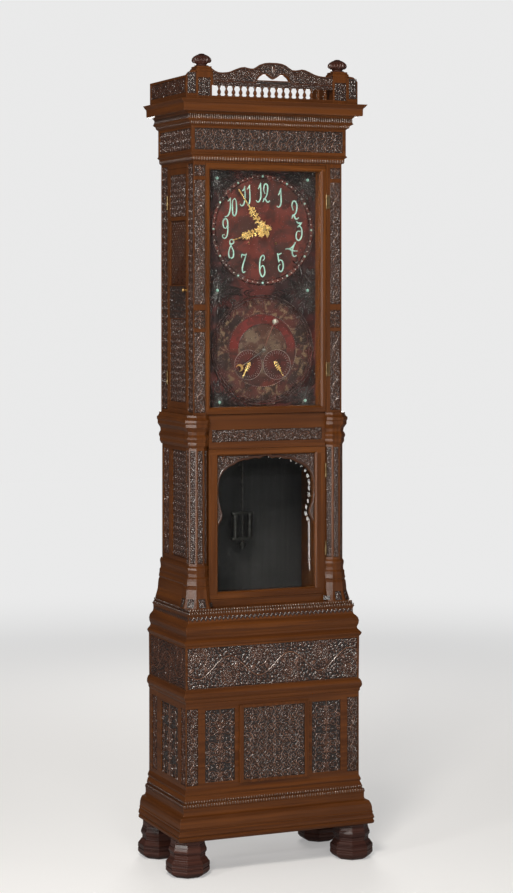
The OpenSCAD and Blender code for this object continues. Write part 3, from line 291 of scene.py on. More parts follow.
# %% [markdown]
# ### The ground of a carving
# The ground is painted dark as painted shade and kept dull, and the tops are painted lighter, partly rubbed
# wear and partly a painted highlight. Every carved mesh below stores how high each point stands over the
# ground, from 0 to 1, and this group turns that into colour.

# %% Carving group
def carved_group():
    g, given, out = new_group("carved depth",
        [("Wood", "c", (0.12, 0.04, 0.02)), ("Ground", "c", (0.02, 0.01, 0.008)),
         ("Rubbed", "c", (0.2, 0.09, 0.05))], [("Colour", "c"), ("Roughness", "f")])
    high = add_node(g, "ShaderNodeAttribute", {"attribute_name": "carved"}).outputs["Fac"]
    # painted shade: the ground and the low slopes of the ornament take the dark colour
    tone = blend_colour(g, ramp(g, high, 0.14, 0.82), given["Ground"], given["Wood"])
    rub = ramp(g, noise(g, place_of(g), 55.0, 3.0), 0.35, 0.65, 0.3, 1.0)
    # rubbed wear and painted highlight: the highest points take the lighter colour where the noise rubs them
    top = maths(g, "MULTIPLY", ramp(g, high, 0.74, 1.0), rub)
    g.links.new(blend_colour(g, top, tone, given["Rubbed"]), out["Colour"])
    g.links.new(ramp(g, high, 0.0, 0.8, 0.72, 0.3), out["Roughness"])
    return g


carved_depth = carved_group()
print("group", carved_depth.name)

# %% [markdown]
# ### Mottling
# Enamel, lacquer and cast metal are clouded. Two noises of different size mix three colours.

# %% Mottle group
def mottle_group():
    g, given, out = new_group("mottle",
        [("First", "c", (0.2, 0.03, 0.02)), ("Second", "c", (0.05, 0.02, 0.02)),
         ("Fleck", "c", (0.3, 0.15, 0.07)), ("Scale", "f", 18.0), ("Flecks", "f", 0.4)],
        [("Colour", "c"), ("Cloud", "f"), ("Height", "f")])
    place, scale = place_of(g), given["Scale"]
    cloud = ramp(g, noise(g, place, scale, 5.0, Roughness=0.6, Distortion=0.5), 0.44, 0.56)
    spots = noise(g, place, maths(g, "MULTIPLY", scale, 2.7), 4.0, Distortion=0.8)
    spots = maths(g, "MULTIPLY", ramp(g, spots, 0.52, 0.62), given["Flecks"])
    tone = blend_colour(g, cloud, given["First"], given["Second"])
    g.links.new(blend_colour(g, spots, tone, given["Fleck"]), out["Colour"])
    g.links.new(cloud, out["Cloud"])
    g.links.new(spots, out["Height"])
    return g


mottle = mottle_group()
print("group", mottle.name)

# %% [markdown]
# ## The finishes
# The case is one reddish-brown hardwood under polish. Its plain boards are warm with a fine level grain,
# its carved parts darker. Each finish is a Principled shader with plain numbers on its own sockets, and
# only what changes over the surface is linked.

# %% Wood finishes
def bump(tree, shader, height, distance, strength=1.0, **more):
    n = add_node(tree, "ShaderNodeBump", Height=height, Distance=distance, Strength=strength, **more)
    tree.links.new(n.outputs[0], shader.inputs["Normal"])


def within_rails(tree, z, rails):
    """1 on the level rails of a door, given as lowest and highest millimetres, and 0 elsewhere."""
    across = 0.0
    for low, high in rails:
        between = maths(tree, "COMPARE", z, (low + high) / 2 * mm)
        between.node.inputs[2].default_value = (high - low) / 2 * mm
        across = maths(tree, "ADD", across, between, clamp=True)
    return across


def wood(name, light, dark, worn, stretch, roughness, coat=0.3, tone=0.45, edge=0.5, rails=(), reeds=0.0):
    m, t, b = start_material(name, roughness, coat=coat, coat_rough=0.16, specular=0.2)
    g = use_group(t, grain, Light=light, Dark=dark, Stretch=stretch, Tone=tone)
    if rails:
        across = within_rails(t, place_of(t, "Z"), rails)
        turn = add_node(t, "ShaderNodeMix", {"data_type": "VECTOR"}, i0=across, i4=stretch, i5=level)
        t.links.new(turn.outputs[1], g.inputs["Stretch"])
    e = use_group(t, worn_edge, Reach=0.0014, Strength=edge)
    worn_mask = e.outputs["Mask"]
    t.links.new(blend_colour(t, worn_mask, g.outputs["Colour"], worn), b.inputs["Base Color"])
    rough = maths(t, "ADD", g.outputs["Roughness"], roughness)
    rough = maths(t, "SUBTRACT", rough, maths(t, "MULTIPLY", worn_mask, 0.12), clamp=True)
    t.links.new(rough, b.inputs["Roughness"])
    height = g.outputs["Height"]
    if reeds:
        wave = maths(t, "SINE", maths(t, "MULTIPLY", place_of(t, "Z"), 2 * math.pi / (reeds * mm)))
        height = maths(t, "ADD", height, maths(t, "MULTIPLY", maths(t, "ABSOLUTE", wave), 5.0))
    bump(t, b, height, 0.0002, 0.6, Normal=e.outputs["Normal"])
    return m


warm, warm_dark, rubbed = (0.098, 0.029, 0.0047), (0.056, 0.0165, 0.0036), (0.24, 0.095, 0.030)
level, upright = (2.2, 2.2, 90.0), (75.0, 75.0, 2.0)
door_rails = (869, 891), (1330, 1352), (1465, 1486), (2254, 2276)
case_level = wood("polished case, level grain", warm, warm_dark, rubbed, level, 0.32)
case_upright = wood("polished case, upright grain", warm, warm_dark, rubbed, upright, 0.32)
door_wood = wood("polished door frames", (0.118, 0.036, 0.0057), warm_dark, rubbed, upright, 0.28,
                 rails=door_rails)
foot_wood = wood("dark polished feet", (0.062, 0.022, 0.015), (0.026, 0.010, 0.008), (0.2, 0.10, 0.07),
                 level, 0.26, coat=0.4, reeds=16.0)
# The inside boards are painted dark grey as the shade inside the closed case.
inner_wood_shaded = wood("unpolished inside boards in painted shade", (0.036, 0.034, 0.034), (0.022, 0.021, 0.021),
                  (0.04, 0.02, 0.014), upright, 0.6, coat=0.0)
print("woods", 5)

# %% Carved finishes
def carved_wood(name, body, ground, top, coat=0.85, coat_rough=0.13, specular=0.45):
    m, t, b = start_material(name, 0.3, coat=coat, coat_rough=coat_rough, specular=specular)
    b.inputs["Coat IOR"].default_value = 1.62
    c = use_group(t, carved_depth, Wood=body, Ground=ground, Rubbed=top)
    g = use_group(t, grain, Light=(1, 1, 1), Dark=(0.7, 0.68, 0.68), Stretch=(30, 30, 30), Tone=0.3)
    t.links.new(blend_colour(t, 1.0, c.outputs["Colour"], g.outputs["Colour"], "MULTIPLY"),
                b.inputs["Base Color"])
    t.links.new(c.outputs["Roughness"], b.inputs["Roughness"])
    bump(t, b, g.outputs["Height"], 0.0002, 0.4)
    return m


# In each carved finish the second colour is painted shade for the ground, the third rubbed wear and painted
# highlight for the tops.
carving = carved_wood("carved case wood", (0.064, 0.023, 0.011), (0.0110, 0.0046, 0.0030),
                      (0.22, 0.105, 0.062), coat=0.95, coat_rough=0.11)
# A copy of the carving for the side faces, with its tops painted darker as painted shade and with less coat.
side_carving = carved_wood("carved side wood in painted shade", (0.062, 0.022, 0.011), (0.012, 0.0050, 0.003),
                           (0.14, 0.066, 0.042), coat=0.55)
# The beads take the third colour, rubbed wear and painted highlight, and the collars between them the second,
# painted shade.
beading = carved_wood("rubbed and lit beading", (0.050, 0.022, 0.012), (0.006, 0.0028, 0.0018),
                      (0.15, 0.085, 0.055))
# A darker, duller copy of the beading for the sides, as painted shade.
side_beading_shaded = carved_wood("side beading in painted shade", (0.035, 0.014, 0.008), (0.008, 0.0035, 0.002),
                           (0.060, 0.028, 0.017), coat=0.1)
print("carved finishes", 4)

# %% Metals, enamel and glass
def clouded(name, roughness, cloud_rough, first, second, fleck, scale, flecks, deep, strength, **settings):
    m, t, b = start_material(name, roughness, **settings)
    g = use_group(t, mottle, First=first, Second=second, Fleck=fleck, Scale=scale, Flecks=flecks)
    t.links.new(g.outputs["Colour"], b.inputs["Base Color"])
    rough = maths(t, "ADD", maths(t, "MULTIPLY", g.outputs["Cloud"], cloud_rough), roughness - 0.05)
    t.links.new(rough, b.inputs["Roughness"])
    bump(t, b, g.outputs["Height"], deep, strength)
    return m


def metal(name, first, second, roughness, fleck=0.3, scale=40.0):
    return clouded(name, roughness, 0.14, first, second, second, scale, fleck, 0.0001, 0.4, metallic=1.0)


def enamel(name, first, second, fleck, scale, flecks, roughness=0.35, coat=0.3, deep=0.0003):
    return clouded(name, roughness, 0.15, first, second, fleck, scale, flecks, deep, 0.5, coat=coat,
                   coat_rough=0.15)


def clear_glass(name, tint, clean):
    m, t, b = start_material(name, 0.02)
    b.inputs["Transmission Weight"].default_value = 1.0
    b.inputs["IOR"].default_value = 1.45
    smear = ramp(t, noise(t, place_of(t), 6.0, 3.0), 0.3, 0.7)
    t.links.new(blend_colour(t, smear, tint, clean), b.inputs["Base Color"])
    return m


gilt = metal("gilt brass", (0.93, 0.73, 0.31), (0.62, 0.42, 0.14), 0.30, 0.5, 90.0)
brass = metal("lacquered brass", (0.62, 0.43, 0.18), (0.44, 0.28, 0.11), 0.3)
old_brass = metal("old brass of the hinges", (0.26, 0.19, 0.10), (0.15, 0.10, 0.05), 0.42)
steel = metal("blued and bright steel", (0.20, 0.20, 0.205), (0.12, 0.12, 0.125), 0.42)
dark_steel = metal("dull pendulum steel", (0.085, 0.080, 0.075), (0.045, 0.043, 0.040), 0.4)
red_enamel = enamel("brick red enamel", (0.085, 0.020, 0.015), (0.035, 0.018, 0.015),
                    (0.020, 0.015, 0.014), 16.0, 0.55)
# The leaves' low edges take the second colour, painted shade, and their middles the third, partly rubbed and
# partly a painted highlight.
bronze = carved_wood("dark bronze leaves", (0.015, 0.013, 0.012), (0.005, 0.004, 0.004),
                     (0.10, 0.092, 0.084), coat=1.0, coat_rough=0.08, specular=0.08)
ring_bronze = enamel("dark red bronze", (0.030, 0.014, 0.012), (0.018, 0.012, 0.011),
                     (0.07, 0.045, 0.036), 40.0, 0.3, roughness=0.2, coat=0.6, deep=0.0001)
turquoise = enamel("pale turquoise enamel", (0.200, 0.375, 0.315), (0.150, 0.300, 0.250),
                   (0.28, 0.46, 0.40), 60.0, 0.4, roughness=0.35)
pale_dot = enamel("pale dots", (0.34, 0.38, 0.34), (0.24, 0.28, 0.25), (0.45, 0.48, 0.43), 60.0, 0.4)
bead_silver = enamel("tarnished silver beads", (0.21, 0.20, 0.18), (0.10, 0.095, 0.085),
                     (0.40, 0.38, 0.35), 60.0, 0.5, roughness=0.3)
gut = enamel("gut line", (0.45, 0.33, 0.16), (0.36, 0.25, 0.12), (0.55, 0.42, 0.22), 200.0, 0.5, 0.5, 0.1)
lead = enamel("painted weight", (0.05, 0.045, 0.045), (0.035, 0.03, 0.03), (0.09, 0.08, 0.07), 30.0, 0.5)
glass = clear_glass("clear glass", (0.97, 0.98, 0.97), (0.99, 0.99, 0.99))
# The trunk's glass is tinted grey so that the case behind it looks dark, a painted shade of the inside.
shade_tinted_glass = clear_glass("trunk glass tinted as painted shade", (0.62, 0.66, 0.66), (0.72, 0.76, 0.76))
print("finishes", len(bpy.data.materials))

# %% [markdown]
# ## Giving the joinery its finish
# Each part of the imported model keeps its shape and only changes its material.

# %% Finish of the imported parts
finish_of = {
    foot_wood: ["foot_front_left", "foot_front_right", "foot_back_left", "foot_back_right"],
    case_level: ["base_moulding", "plinth_case", "plinth_torus", "plinth_band", "waist_ledge", "frieze",
                 "cornice", "waist_case", "waist_mouldings", "gallery_rail", "gallery_crest",
                 "gallery_sides"],
    case_upright: ["plinth_centre_panel", "pilaster_left", "pilaster_right", "hood_case",
                   "gallery_posts", "gallery_balusters", "finials", "side_door_left", "side_door_right"],
    door_wood: ["trunk_door", "hood_door", "trunk_arch"],
    inner_wood_shaded: ["back_board", "seat_board"],
    glass: ["trunk_glass", "hood_glass"],
    old_brass: ["hinges", "time_drum", "strike_drum"],
    brass: ["movement_frame", "time_great_wheel", "strike_great_wheel",
            "centre_wheel", "third_wheel", "escape_wheel", "minute_wheel", "hour_wheel", "pin_wheel", "bell",
            "time_pulley", "strike_pulley"],
    steel: ["anchor", "hammer"],
    dark_steel: ["pendulum"],
    gilt: ["hour_hand", "minute_hand", "moon_arm"],
    red_enamel: ["dial_plate", "calendar_left", "calendar_right"],
    lead: ["time_weight", "strike_weight"],
    gut: ["time_cable", "strike_cable"],
}


def finish(name, material):
    nodes[name].data.materials.clear()
    nodes[name].data.materials.append(material)


for material, names in finish_of.items():
    for name in names:
        finish(name, material)
left_over = sorted(set(nodes) - {n for names in finish_of.values() for n in names})
for name in ("trunk_glass", "hood_glass"):
    nodes[name].visible_shadow = False
print("finished", len(nodes) - len(left_over), "left over", left_over)

# %% [markdown]
# ## Placing pieces
# Sizes in this file are in millimetres: x across from the middle, d forwards from the back board, z up from
# the floor. One helper turns them into the model's metres, and one makes an object that rides on a body.

# %% Placing helpers
made = []
both_sides = (-1, "left"), (1, "right")


def at(x, d, z):
    return np.array((x * mm, back_y - d * mm, z * mm))


def make_piece(name, verts, faces, material, body="case", slot=None, smooth=True, sharp=None):
    mesh = bpy.data.meshes.new(name)
    mesh.from_pydata(np.asarray(verts, float).reshape(-1, 3).tolist(), [], faces)
    mesh.update()
    mesh.polygons.foreach_set("use_smooth", [smooth] * len(mesh.polygons))
    if sharp is not None:
        mesh.set_sharp_from_angle(angle=math.radians(sharp))
    mesh.materials.append(material)
    o = bpy.data.objects.new(name, mesh)
    bpy.context.scene.collection.objects.link(o)
    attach(o, body)
    made.append(o)
    return o


print("one step of 100 mm forwards moves y by", round(float(at(0, 100, 0)[1] - back_y), 3), "m")

# %% [markdown]
# ## How the carving is made
# A carver works down from the face of the board: the ground is sunk, and the ornament keeps the old
# surface. A grid of heights does the same. Stems, leaves, flowers and berries are pressed into the grid,
# each with the rounded section that a gouge leaves, and the higher one wins where two meet. Small curled
# leaves then fill the gaps, placed by measuring how much room is left.

# %% The carver's grid
class Carving:
    def __init__(self, width, length, cell=1.0, heights=None):
        if heights is None:
            heights = np.zeros((max(6, round(length / cell)) + 1, max(6, round(width / cell)) + 1))
        self.w, self.h, self.z = width, length, heights
        self.nv, self.nu = heights.shape[0] - 1, heights.shape[1] - 1
        self.u = np.linspace(0, width, self.nu + 1)
        self.v = np.linspace(0, length, self.nv + 1)
        self.cu, self.cv = width / self.nu, length / self.nv
        self.mask = np.ones(heights.shape, bool)

    def window(self, x, y, r):
        i0, i1 = max(0, int((x - r) / self.cu)), min(self.nu + 1, int((x + r) / self.cu) + 2)
        j0, j1 = max(0, int((y - r) / self.cv)), min(self.nv + 1, int((y + r) / self.cv) + 2)
        if i1 <= i0 or j1 <= j0:
            return None
        return (slice(j0, j1), slice(i0, i1)), self.u[None, i0:i1] - x, self.v[j0:j1, None] - y

    def press(self, where, height):
        self.z[where] = np.maximum(self.z[where], height)

    def berry(self, x, y, r, top):
        w = self.window(x, y, r)
        if w:
            where, U, V = w
            self.press(where, top * np.sqrt(np.clip(1 - (U * U + V * V) / (r * r), 0, 1)))

    def stem(self, path, r0, r1, top):
        n = len(path) - 1
        for k in range(n):
            (x, y), (x2, y2) = path[k], path[k + 1]
            r = r0 + (r1 - r0) * k / n
            w = self.window((x + x2) / 2, (y + y2) / 2, r + math.hypot(x2 - x, y2 - y) / 2)
            if not w:
                continue
            where, U, V = w
            U, V = U + (x2 - x) / 2, V + (y2 - y) / 2
            s2 = (x2 - x) ** 2 + (y2 - y) ** 2 + 1e-9
            t = np.clip((U * (x2 - x) + V * (y2 - y)) / s2, 0, 1)
            off = (U - t * (x2 - x)) ** 2 + (V - t * (y2 - y)) ** 2
            self.press(where, top * np.sqrt(np.clip(1 - off / (r * r), 0, 1)))

    def leaf(self, x, y, angle, length, width, bend=0.0, top=3.6, vein=0.3, crown=0.42):
        c, s = math.cos(angle), math.sin(angle)
        w = self.window(x + c * length / 2, y + s * length / 2, length * 0.56 + width + abs(bend) * length)
        if not w:
            return
        where, U, V = w
        U, V = U + c * length / 2, V + s * length / 2
        a, b = U * c + V * s, V * c - U * s
        t = np.clip(a / length, 0, 1)
        b = b - bend * length * t * t
        half = 0.5 * width * np.sin(np.pi * t ** 0.8) ** 0.75 + 1e-6
        q = np.clip(1 - (b / half) ** 2, 0, 1)
        z = top * (0.55 + 0.45 * np.sin(np.pi * t)) * q ** crown
        z = z - vein * top * np.exp(-(b / (0.1 * width + 0.15)) ** 2) * (q > 0)
        self.press(where, np.where((a > 0) & (a < length), z, 0))

    def flower(self, x, y, r, petals=6, top=3.6, turn=0.0):
        for k in range(petals):
            a = turn + 2 * math.pi * k / petals
            self.leaf(x + 0.2 * r * math.cos(a), y + 0.2 * r * math.sin(a), a, 0.82 * r,
                      min(3.6 * r / petals, 0.5 * r), 0.0, top)
        self.berry(x, y, 0.24 * r, top)

    def curl(self, x, y, r, start, turns, hand, stem_r, top, leaves=5, bud=0.34):
        """A stem that winds in to a bud, with hooked leaves on its outer side."""
        n = max(12, int(turns * 24))
        path = []
        for k in range(n + 1):
            t = k / n
            a, q = start + hand * turns * 2 * math.pi * t, r * (1 - 0.78 * t)
            path.append((x + q * math.cos(a), y + q * math.sin(a)))
        self.stem(path, stem_r, stem_r * 0.75, top)
        if bud * r > 3.2:
            self.flower(x, y, bud * r, 5 if r < 16 else 7, top, start)
        else:
            self.berry(x, y, max(1.6, bud * r), top)
        for k in range(leaves):
            i = int((0.08 + 0.62 * k / max(1, leaves - 1)) * n) if leaves > 1 else n // 4
            (px, py), (qx, qy) = path[i], path[i + 1]
            away = math.atan2(qy - py, qx - px) - hand * 0.7
            self.leaf(px, py, away, 0.5 * r + 1.5, 0.2 * r + 0.8, hand * -0.25, top * 0.95)

    def room(self, limit=9.0):
        """Millimetres from each bare point to the nearest ornament or edge."""
        d = np.where((self.z < 0.4) & self.mask, limit, 0.0)
        d[0] = d[-1] = 0
        d[:, 0] = d[:, -1] = 0
        step = (self.cu + self.cv) / 2
        moves = [(j, i, step * (1.414 if j != 1 and i != 1 else 1)) for j in range(3) for i in range(3)
                 if (j, i) != (1, 1)]
        for _ in range(int(limit / step) + 1):
            wide = np.pad(d, 1, constant_values=2 * limit)
            for j, i, cost in moves:
                d = np.minimum(d, wide[j:j + d.shape[0], i:i + d.shape[1]] + cost)
        return d

    def fill(self, top=3.2, least=1.6, longest=11.0, rounds=3, seed=3, fat=1.15):
        rng = np.random.default_rng(seed)
        for _ in range(rounds):
            d = self.room()
            js, ks = np.nonzero(d >= least)
            order = np.argsort(-(d[js, ks] + 0.4 * rng.random(len(js))))
            taken = np.zeros(d.shape, bool)
            for o in order:
                j, i = js[o], ks[o]
                if taken[j, i]:
                    continue
                r, x, y = d[j, i], self.u[i], self.v[j]
                reach = max(1, int(2.0 * r / self.cu))
                taken[max(0, j - reach):j + reach + 1, max(0, i - reach):i + reach + 1] = True
                span = min(longest, 2.4 * r + 2)
                best, angle = -1.0, 0.0
                first = rng.random() * math.pi
                for k in range(8):
                    a = first + k * math.pi / 8
                    ends = 0.0
                    for e in (-0.55, 0.55):
                        jj = min(max(int((y + e * span * math.sin(a)) / self.cv), 0), self.nv)
                        ii = min(max(int((x + e * span * math.cos(a)) / self.cu), 0), self.nu)
                        ends += d[jj, ii]
                    if ends > best:
                        best, angle = ends, a
                angle += math.pi * (rng.random() > 0.5)
                bend = 0.3 * (1 if rng.random() > 0.5 else -1)
                x0, y0 = x - span / 2 * math.cos(angle), y - span / 2 * math.sin(angle)
                self.leaf(x0, y0, angle, span, min(fat * r + 0.8, 0.56 * span), bend, top, 0.22)
                if r > 2.6:
                    self.berry(x0, y0, 1.5, top * 0.9)
        return self

    def ground(self, seed=5, depth=0.2):
        self.z += depth * np.random.default_rng(seed).random(self.z.shape) * (self.z < 0.3)
        return self

    def turned(self):
        """The same carving with its length running across."""
        return Carving(self.h, self.w, heights=self.z.T[::-1].copy())

    def mirrored(self):
        return Carving(self.w, self.h, heights=self.z[:, ::-1].copy())

    def doubled(self):
        """Both halves of a design that is the same left and right."""
        return Carving(2 * self.w, self.h, heights=np.concatenate([self.z, self.z[:, -2::-1]], 1))


print("a carving 20 by 30 mm has", Carving(20, 30).z.size, "points")

# %% [markdown]
# A carved field becomes a closed solid: the grid of heights on top, a thin skirt round it and a flat back
# that is let a fraction of a millimetre into the board. A patch does the same for a shape that isn't a
# rectangle: it keeps only the cells inside the shape.

# %% From heights to solids
def level_of(o, heights, full=3.6, sharp=62):
    """Stores how high each point stands over the ground, for the carving's material."""
    a = o.data.attributes.new("carved", "FLOAT", "POINT")
    a.data.foreach_set("value", np.clip(np.asarray(heights) / full, 0, 1).astype(np.float32))
    if sharp:
        o.data.set_sharp_from_angle(angle=math.radians(sharp))
    return o


def carved_field(name, c, corner, across, along, out, material, body="case", slot="carved_wood", sunk=0.3):
    across, along, out = (np.array(v, float) for v in (across, along, out))
    ny, nx = c.z.shape
    U, V = np.meshgrid(c.u, c.v)
    top = (corner + (U[..., None] * across + V[..., None] * along
                     + (c.z[..., None] + 0.12) * out) * mm).reshape(-1, 3)
    ring = np.concatenate([np.arange(nx), np.arange(1, ny) * nx + nx - 1,
                           (ny - 1) * nx + np.arange(nx - 2, -1, -1), np.arange(ny - 2, 0, -1) * nx])
    rim_uv = np.stack([U.ravel()[ring], V.ravel()[ring]], 1)
    rim = corner + (rim_uv[:, :1] * across + rim_uv[:, 1:] * along - sunk * out) * mm
    middle = corner + (c.w / 2 * across + c.h / 2 * along - sunk * out) * mm
    verts = np.concatenate([top, rim, middle[None]])
    idx = np.arange(ny * nx).reshape(ny, nx)
    quads = np.stack([idx[:-1, :-1], idx[:-1, 1:], idx[1:, 1:], idx[1:, :-1]], -1).reshape(-1, 4)
    n, m = ny * nx, len(ring)
    nxt = np.roll(np.arange(m), -1)
    skirt = np.stack([n + np.arange(m), n + nxt, ring[nxt], ring], 1)
    fan = np.stack([n + nxt, n + np.arange(m), np.full(m, n + m)], 1)
    if np.dot(np.cross(across, along), out) < 0:
        quads, skirt, fan = quads[:, ::-1], skirt[:, ::-1], fan[:, ::-1]
    o = make_piece(name, verts, quads.tolist() + skirt.tolist() + fan.tolist(), material, body, slot)
    return level_of(o, np.concatenate([c.z.ravel(), np.zeros(m + 1)]))


def carved_patch(name, c, corner, across, along, out, material, body="case", slot="carved_wood", sunk=0.3,
                 full=3.6):
    across, along, out = (np.array(v, float) for v in (across, along, out))
    k = c.mask
    cell = k[:-1, :-1] & k[:-1, 1:] & k[1:, 1:] & k[1:, :-1]
    for _ in range(3):
        for flip in (False, True):
            g = cell[:, ::-1] if flip else cell
            g[:-1, 1:] |= g[:-1, :-1] & g[1:, 1:] & ~g[1:, :-1]
    ny, nx = c.z.shape
    js, ks = np.nonzero(cell)
    idx = np.arange(ny * nx).reshape(ny, nx)
    quads = np.stack([idx[js, ks], idx[js, ks + 1], idx[js + 1, ks + 1], idx[js + 1, ks]], 1)
    open_cell = np.pad(~cell, 1, constant_values=True)
    walls = []
    for dj, di, a, b in ((-1, 0, 0, 1), (0, 1, 1, 2), (1, 0, 2, 3), (0, -1, 3, 0)):
        edge = open_cell[js + 1 + dj, ks + 1 + di]
        walls.append(quads[edge][:, [a, b]])
    walls = np.concatenate(walls)
    used, back = np.unique(quads, return_inverse=True)
    quads = back.reshape(-1, 4)
    walls = np.searchsorted(used, walls)
    n = len(used)
    uv = np.stack([c.u[used % nx], c.v[used // nx]], 1)
    base = corner + (uv[:, :1] * across + uv[:, 1:] * along) * mm
    z = c.z.ravel()[used]
    verts = np.concatenate([base + (z[:, None] + 0.12) * out * mm, base - sunk * out * mm])
    skirt = np.stack([walls[:, 0] + n, walls[:, 1] + n, walls[:, 1], walls[:, 0]], 1)
    bottom = quads[:, ::-1] + n
    if np.dot(np.cross(across, along), out) < 0:
        quads, skirt, bottom = quads[:, ::-1], skirt[:, ::-1], bottom[:, ::-1]
    o = make_piece(name, verts, quads.tolist() + skirt.tolist() + bottom.tolist(), material, body, slot)
    return level_of(o, np.concatenate([z, np.zeros(n)]), full)


front_axes = (1, 0, 0), (0, 0, 1), (0, -1, 0)


def front_field(name, c, x0, z0, d, material=None, body="case", **kw):
    return carved_field(name, c, at(x0, d, z0), *front_axes, material or carving, body, **kw)


def side_pair(name, c, x, d0, z0, material=None, on_doors=False):
    """The same field on the left and the right side of the clock."""
    for side, tag in both_sides:
        carved_field(f"{name}_{tag}", c, at(side * x, d0, z0), (0, -1, 0), (0, 0, 1), (side, 0, 0),
                     material or side_carving, f"side_door_{tag}" if on_doors else "case")


print("a field needs its carving, one corner and three directions")

# %% [markdown]
# ## Patterns of the case
# Long fields carry an undulating stem with a curl in each bend. Square ones carry thin scrolls that are
# the same left and right, and the dense ones a lattice of small curls. All are filled with hooked leaves
# until little ground is left, and the ground between them is painted dark as the shade that lies there on the
# real case.

# %% Patterns
def vine(c, period, swing, stem_r=1.4, top=3.7, phase=0.0, curl=0.36, seed=3, longest=11.0, leaves=6,
         fat=1.05):
    """An undulating stem along the middle with a curl in each of its bends."""
    mid = c.w / 2
    wave = lambda v: mid + swing * math.sin(2 * math.pi * (v / period + phase))
    for k in range(int(2 * c.h / period) + 2):
        v = (k / 2 + 0.25 - phase) * period
        side = -1 if k % 2 == 0 else 1
        r = min(curl * c.w, 0.23 * period)
        x = mid + side * (c.w / 2 - r - 1.0)
        if -r < v < c.h + r:
            c.curl(x, v, r, math.pi / 2 * side + math.pi / 2, 1.2, -side, stem_r * 0.75, top, leaves, 0.42)
            for e in (-0.16, 0.16):
                turn = 0.5 * math.pi - 0.9 * side if e < 0 else 1.5 * math.pi + 0.9 * side
                c.leaf(wave(v + e * period), v + e * period, turn, 0.26 * c.w, 0.11 * c.w, 0.2 * side, top)
    c.stem([(wave(v), v) for v in np.arange(-3, c.h + 4, 2.0)], stem_r, stem_r, top + 0.2)
    c.fill(seed=seed, longest=longest, fat=fat)
    return c.ground()


def lattice(c, cols, rows, stem_r=1.4, top=3.7, seed=4, longest=9.0, leaves=3):
    """Small curls in columns and rows, with a wavy stem between the columns."""
    du, dv = c.w / cols, c.h / rows
    r = 0.47 * min(du, dv)
    rng = np.random.default_rng(seed)
    for i in range(cols):
        for j in range(rows):
            hand = 1 if (i + j) % 2 else -1
            x, y = (i + 0.5) * du, (j + 0.5) * dv
            c.curl(x, y, r, rng.random() * 6.28, 1.3, hand, stem_r, top, leaves, 0.26)
    for i in range(1, cols):
        path = [(i * du + 0.14 * du * math.sin(2 * math.pi * y / dv), y) for y in np.arange(0, c.h + 1, 2.0)]
        c.stem(path, stem_r, stem_r, top)
    c.fill(seed=seed, longest=longest, fat=0.6, least=2.6, rounds=1)
    return c.ground()


def scrolls(c, rows, stem_r=1.4, top=3.7, seed=4, leaves=4):
    """Half of a panel of C-scrolls; its right edge is the middle of the whole."""
    dv = c.h / rows
    r = min(0.46 * dv, 0.44 * c.w)
    for j in range(rows):
        y, hand = (j + 0.5) * dv, 1 if j % 2 else -1
        c.curl(c.w * 0.52, y, r, -0.4 * hand, 1.35, hand, stem_r, top, leaves, 0.3)
        c.curl(c.w * 0.84, j * dv + 0.02 * dv, 0.42 * r, 2.4, 1.2, -hand, stem_r, top, 3, 0.3)
        c.curl(c.w * 0.16, j * dv + 0.02 * dv, 0.42 * r, 0.5, 1.2, hand, stem_r, top, 3, 0.3)
        c.leaf(c.w, y, math.pi * 0.8, 0.3 * c.w, 0.12 * c.w, 0.25, top)
        c.leaf(c.w, y, -math.pi * 0.8, 0.3 * c.w, 0.12 * c.w, -0.25, top)
    c.stem([(c.w, 0), (c.w, c.h)], stem_r, stem_r, top)
    c.fill(seed=seed, longest=8.0, fat=0.6, least=2.6, rounds=1)
    return c.ground().doubled()


# %% Carvings of the front
plinth_d, plinth_x, sunk_by = 335.7, 304.7, 4.0
panel_d, stile_z, panel_z = plinth_d - sunk_by, 287, 293
broad = {"longest": 15.0, "leaves": 10, "fat": 1.6, "curl": 0.26}
stile = vine(Carving(39, 243, 0.8), 62, 7, seed=11)
panel = scrolls(Carving(51.5, 231, 0.8), 5, seed=12)
plinth_centre = lattice(Carving(215.4, 231, 0.85), 8, 9, seed=13)
band = vine(Carving(130, 598), 213, 34, 2.3, phase=0.08, seed=21, **broad).turned()
frieze = lattice(Carving(524, 69, 0.85), 16, 2, 1.3, seed=23, leaves=5)
strip = vine(Carving(39, 390, 0.9), 58, 8, 1.2, seed=25).turned()
for name, c, x, z, d in (("plinth_stile_left", stile, -301.7, stile_z, panel_d),
                         ("plinth_stile_right", stile.mirrored(), 262.7, stile_z, panel_d),
                         ("plinth_panel_left", panel, -238.7, panel_z, panel_d),
                         ("plinth_panel_right", panel, 135.7, panel_z, panel_d),
                         ("plinth_centre", plinth_centre, -107.7, panel_z, plinth_d + 3),
                         ("band_front", band, -299, 594, plinth_d + 1.2 - sunk_by),
                         ("frieze_front", frieze, -262, 2316, 299.7),
                         ("waist_strip", strip, -195, 1375, 281)):
    front_field(f"{name}_carving", c, x, z, d)
for k, (z0, z1) in enumerate(((1471, 1730), (1742, 1800), (1819, 2219), (2231, 2267))):
    tall, c = z1 - z0, Carving(38, z1 - z0, 0.9)
    c = vine(c, 62, 8, 1.3, seed=31 + k) if tall > 100 else lattice(c, 2, 3 if tall > 50 else 2, seed=31 + k)
    front_field(f"hood_stile_left_carving_{k}", c, -259, z0, 289)
    front_field(f"hood_stile_right_carving_{k}", c.mirrored(), 221, z0, 289)
print("carvings of the front", len(made))

# %% Carvings of the sides
side_panel_x = plinth_x - sunk_by
side_pair("plinth_side_back_stile", vine(Carving(47, 243, 1.2), 70, 8, seed=14), side_panel_x, 27, stile_z)
side_pair("plinth_side_front_stile", vine(Carving(42, 243, 1.2), 66, 8, seed=15), side_panel_x, 288, stile_z)
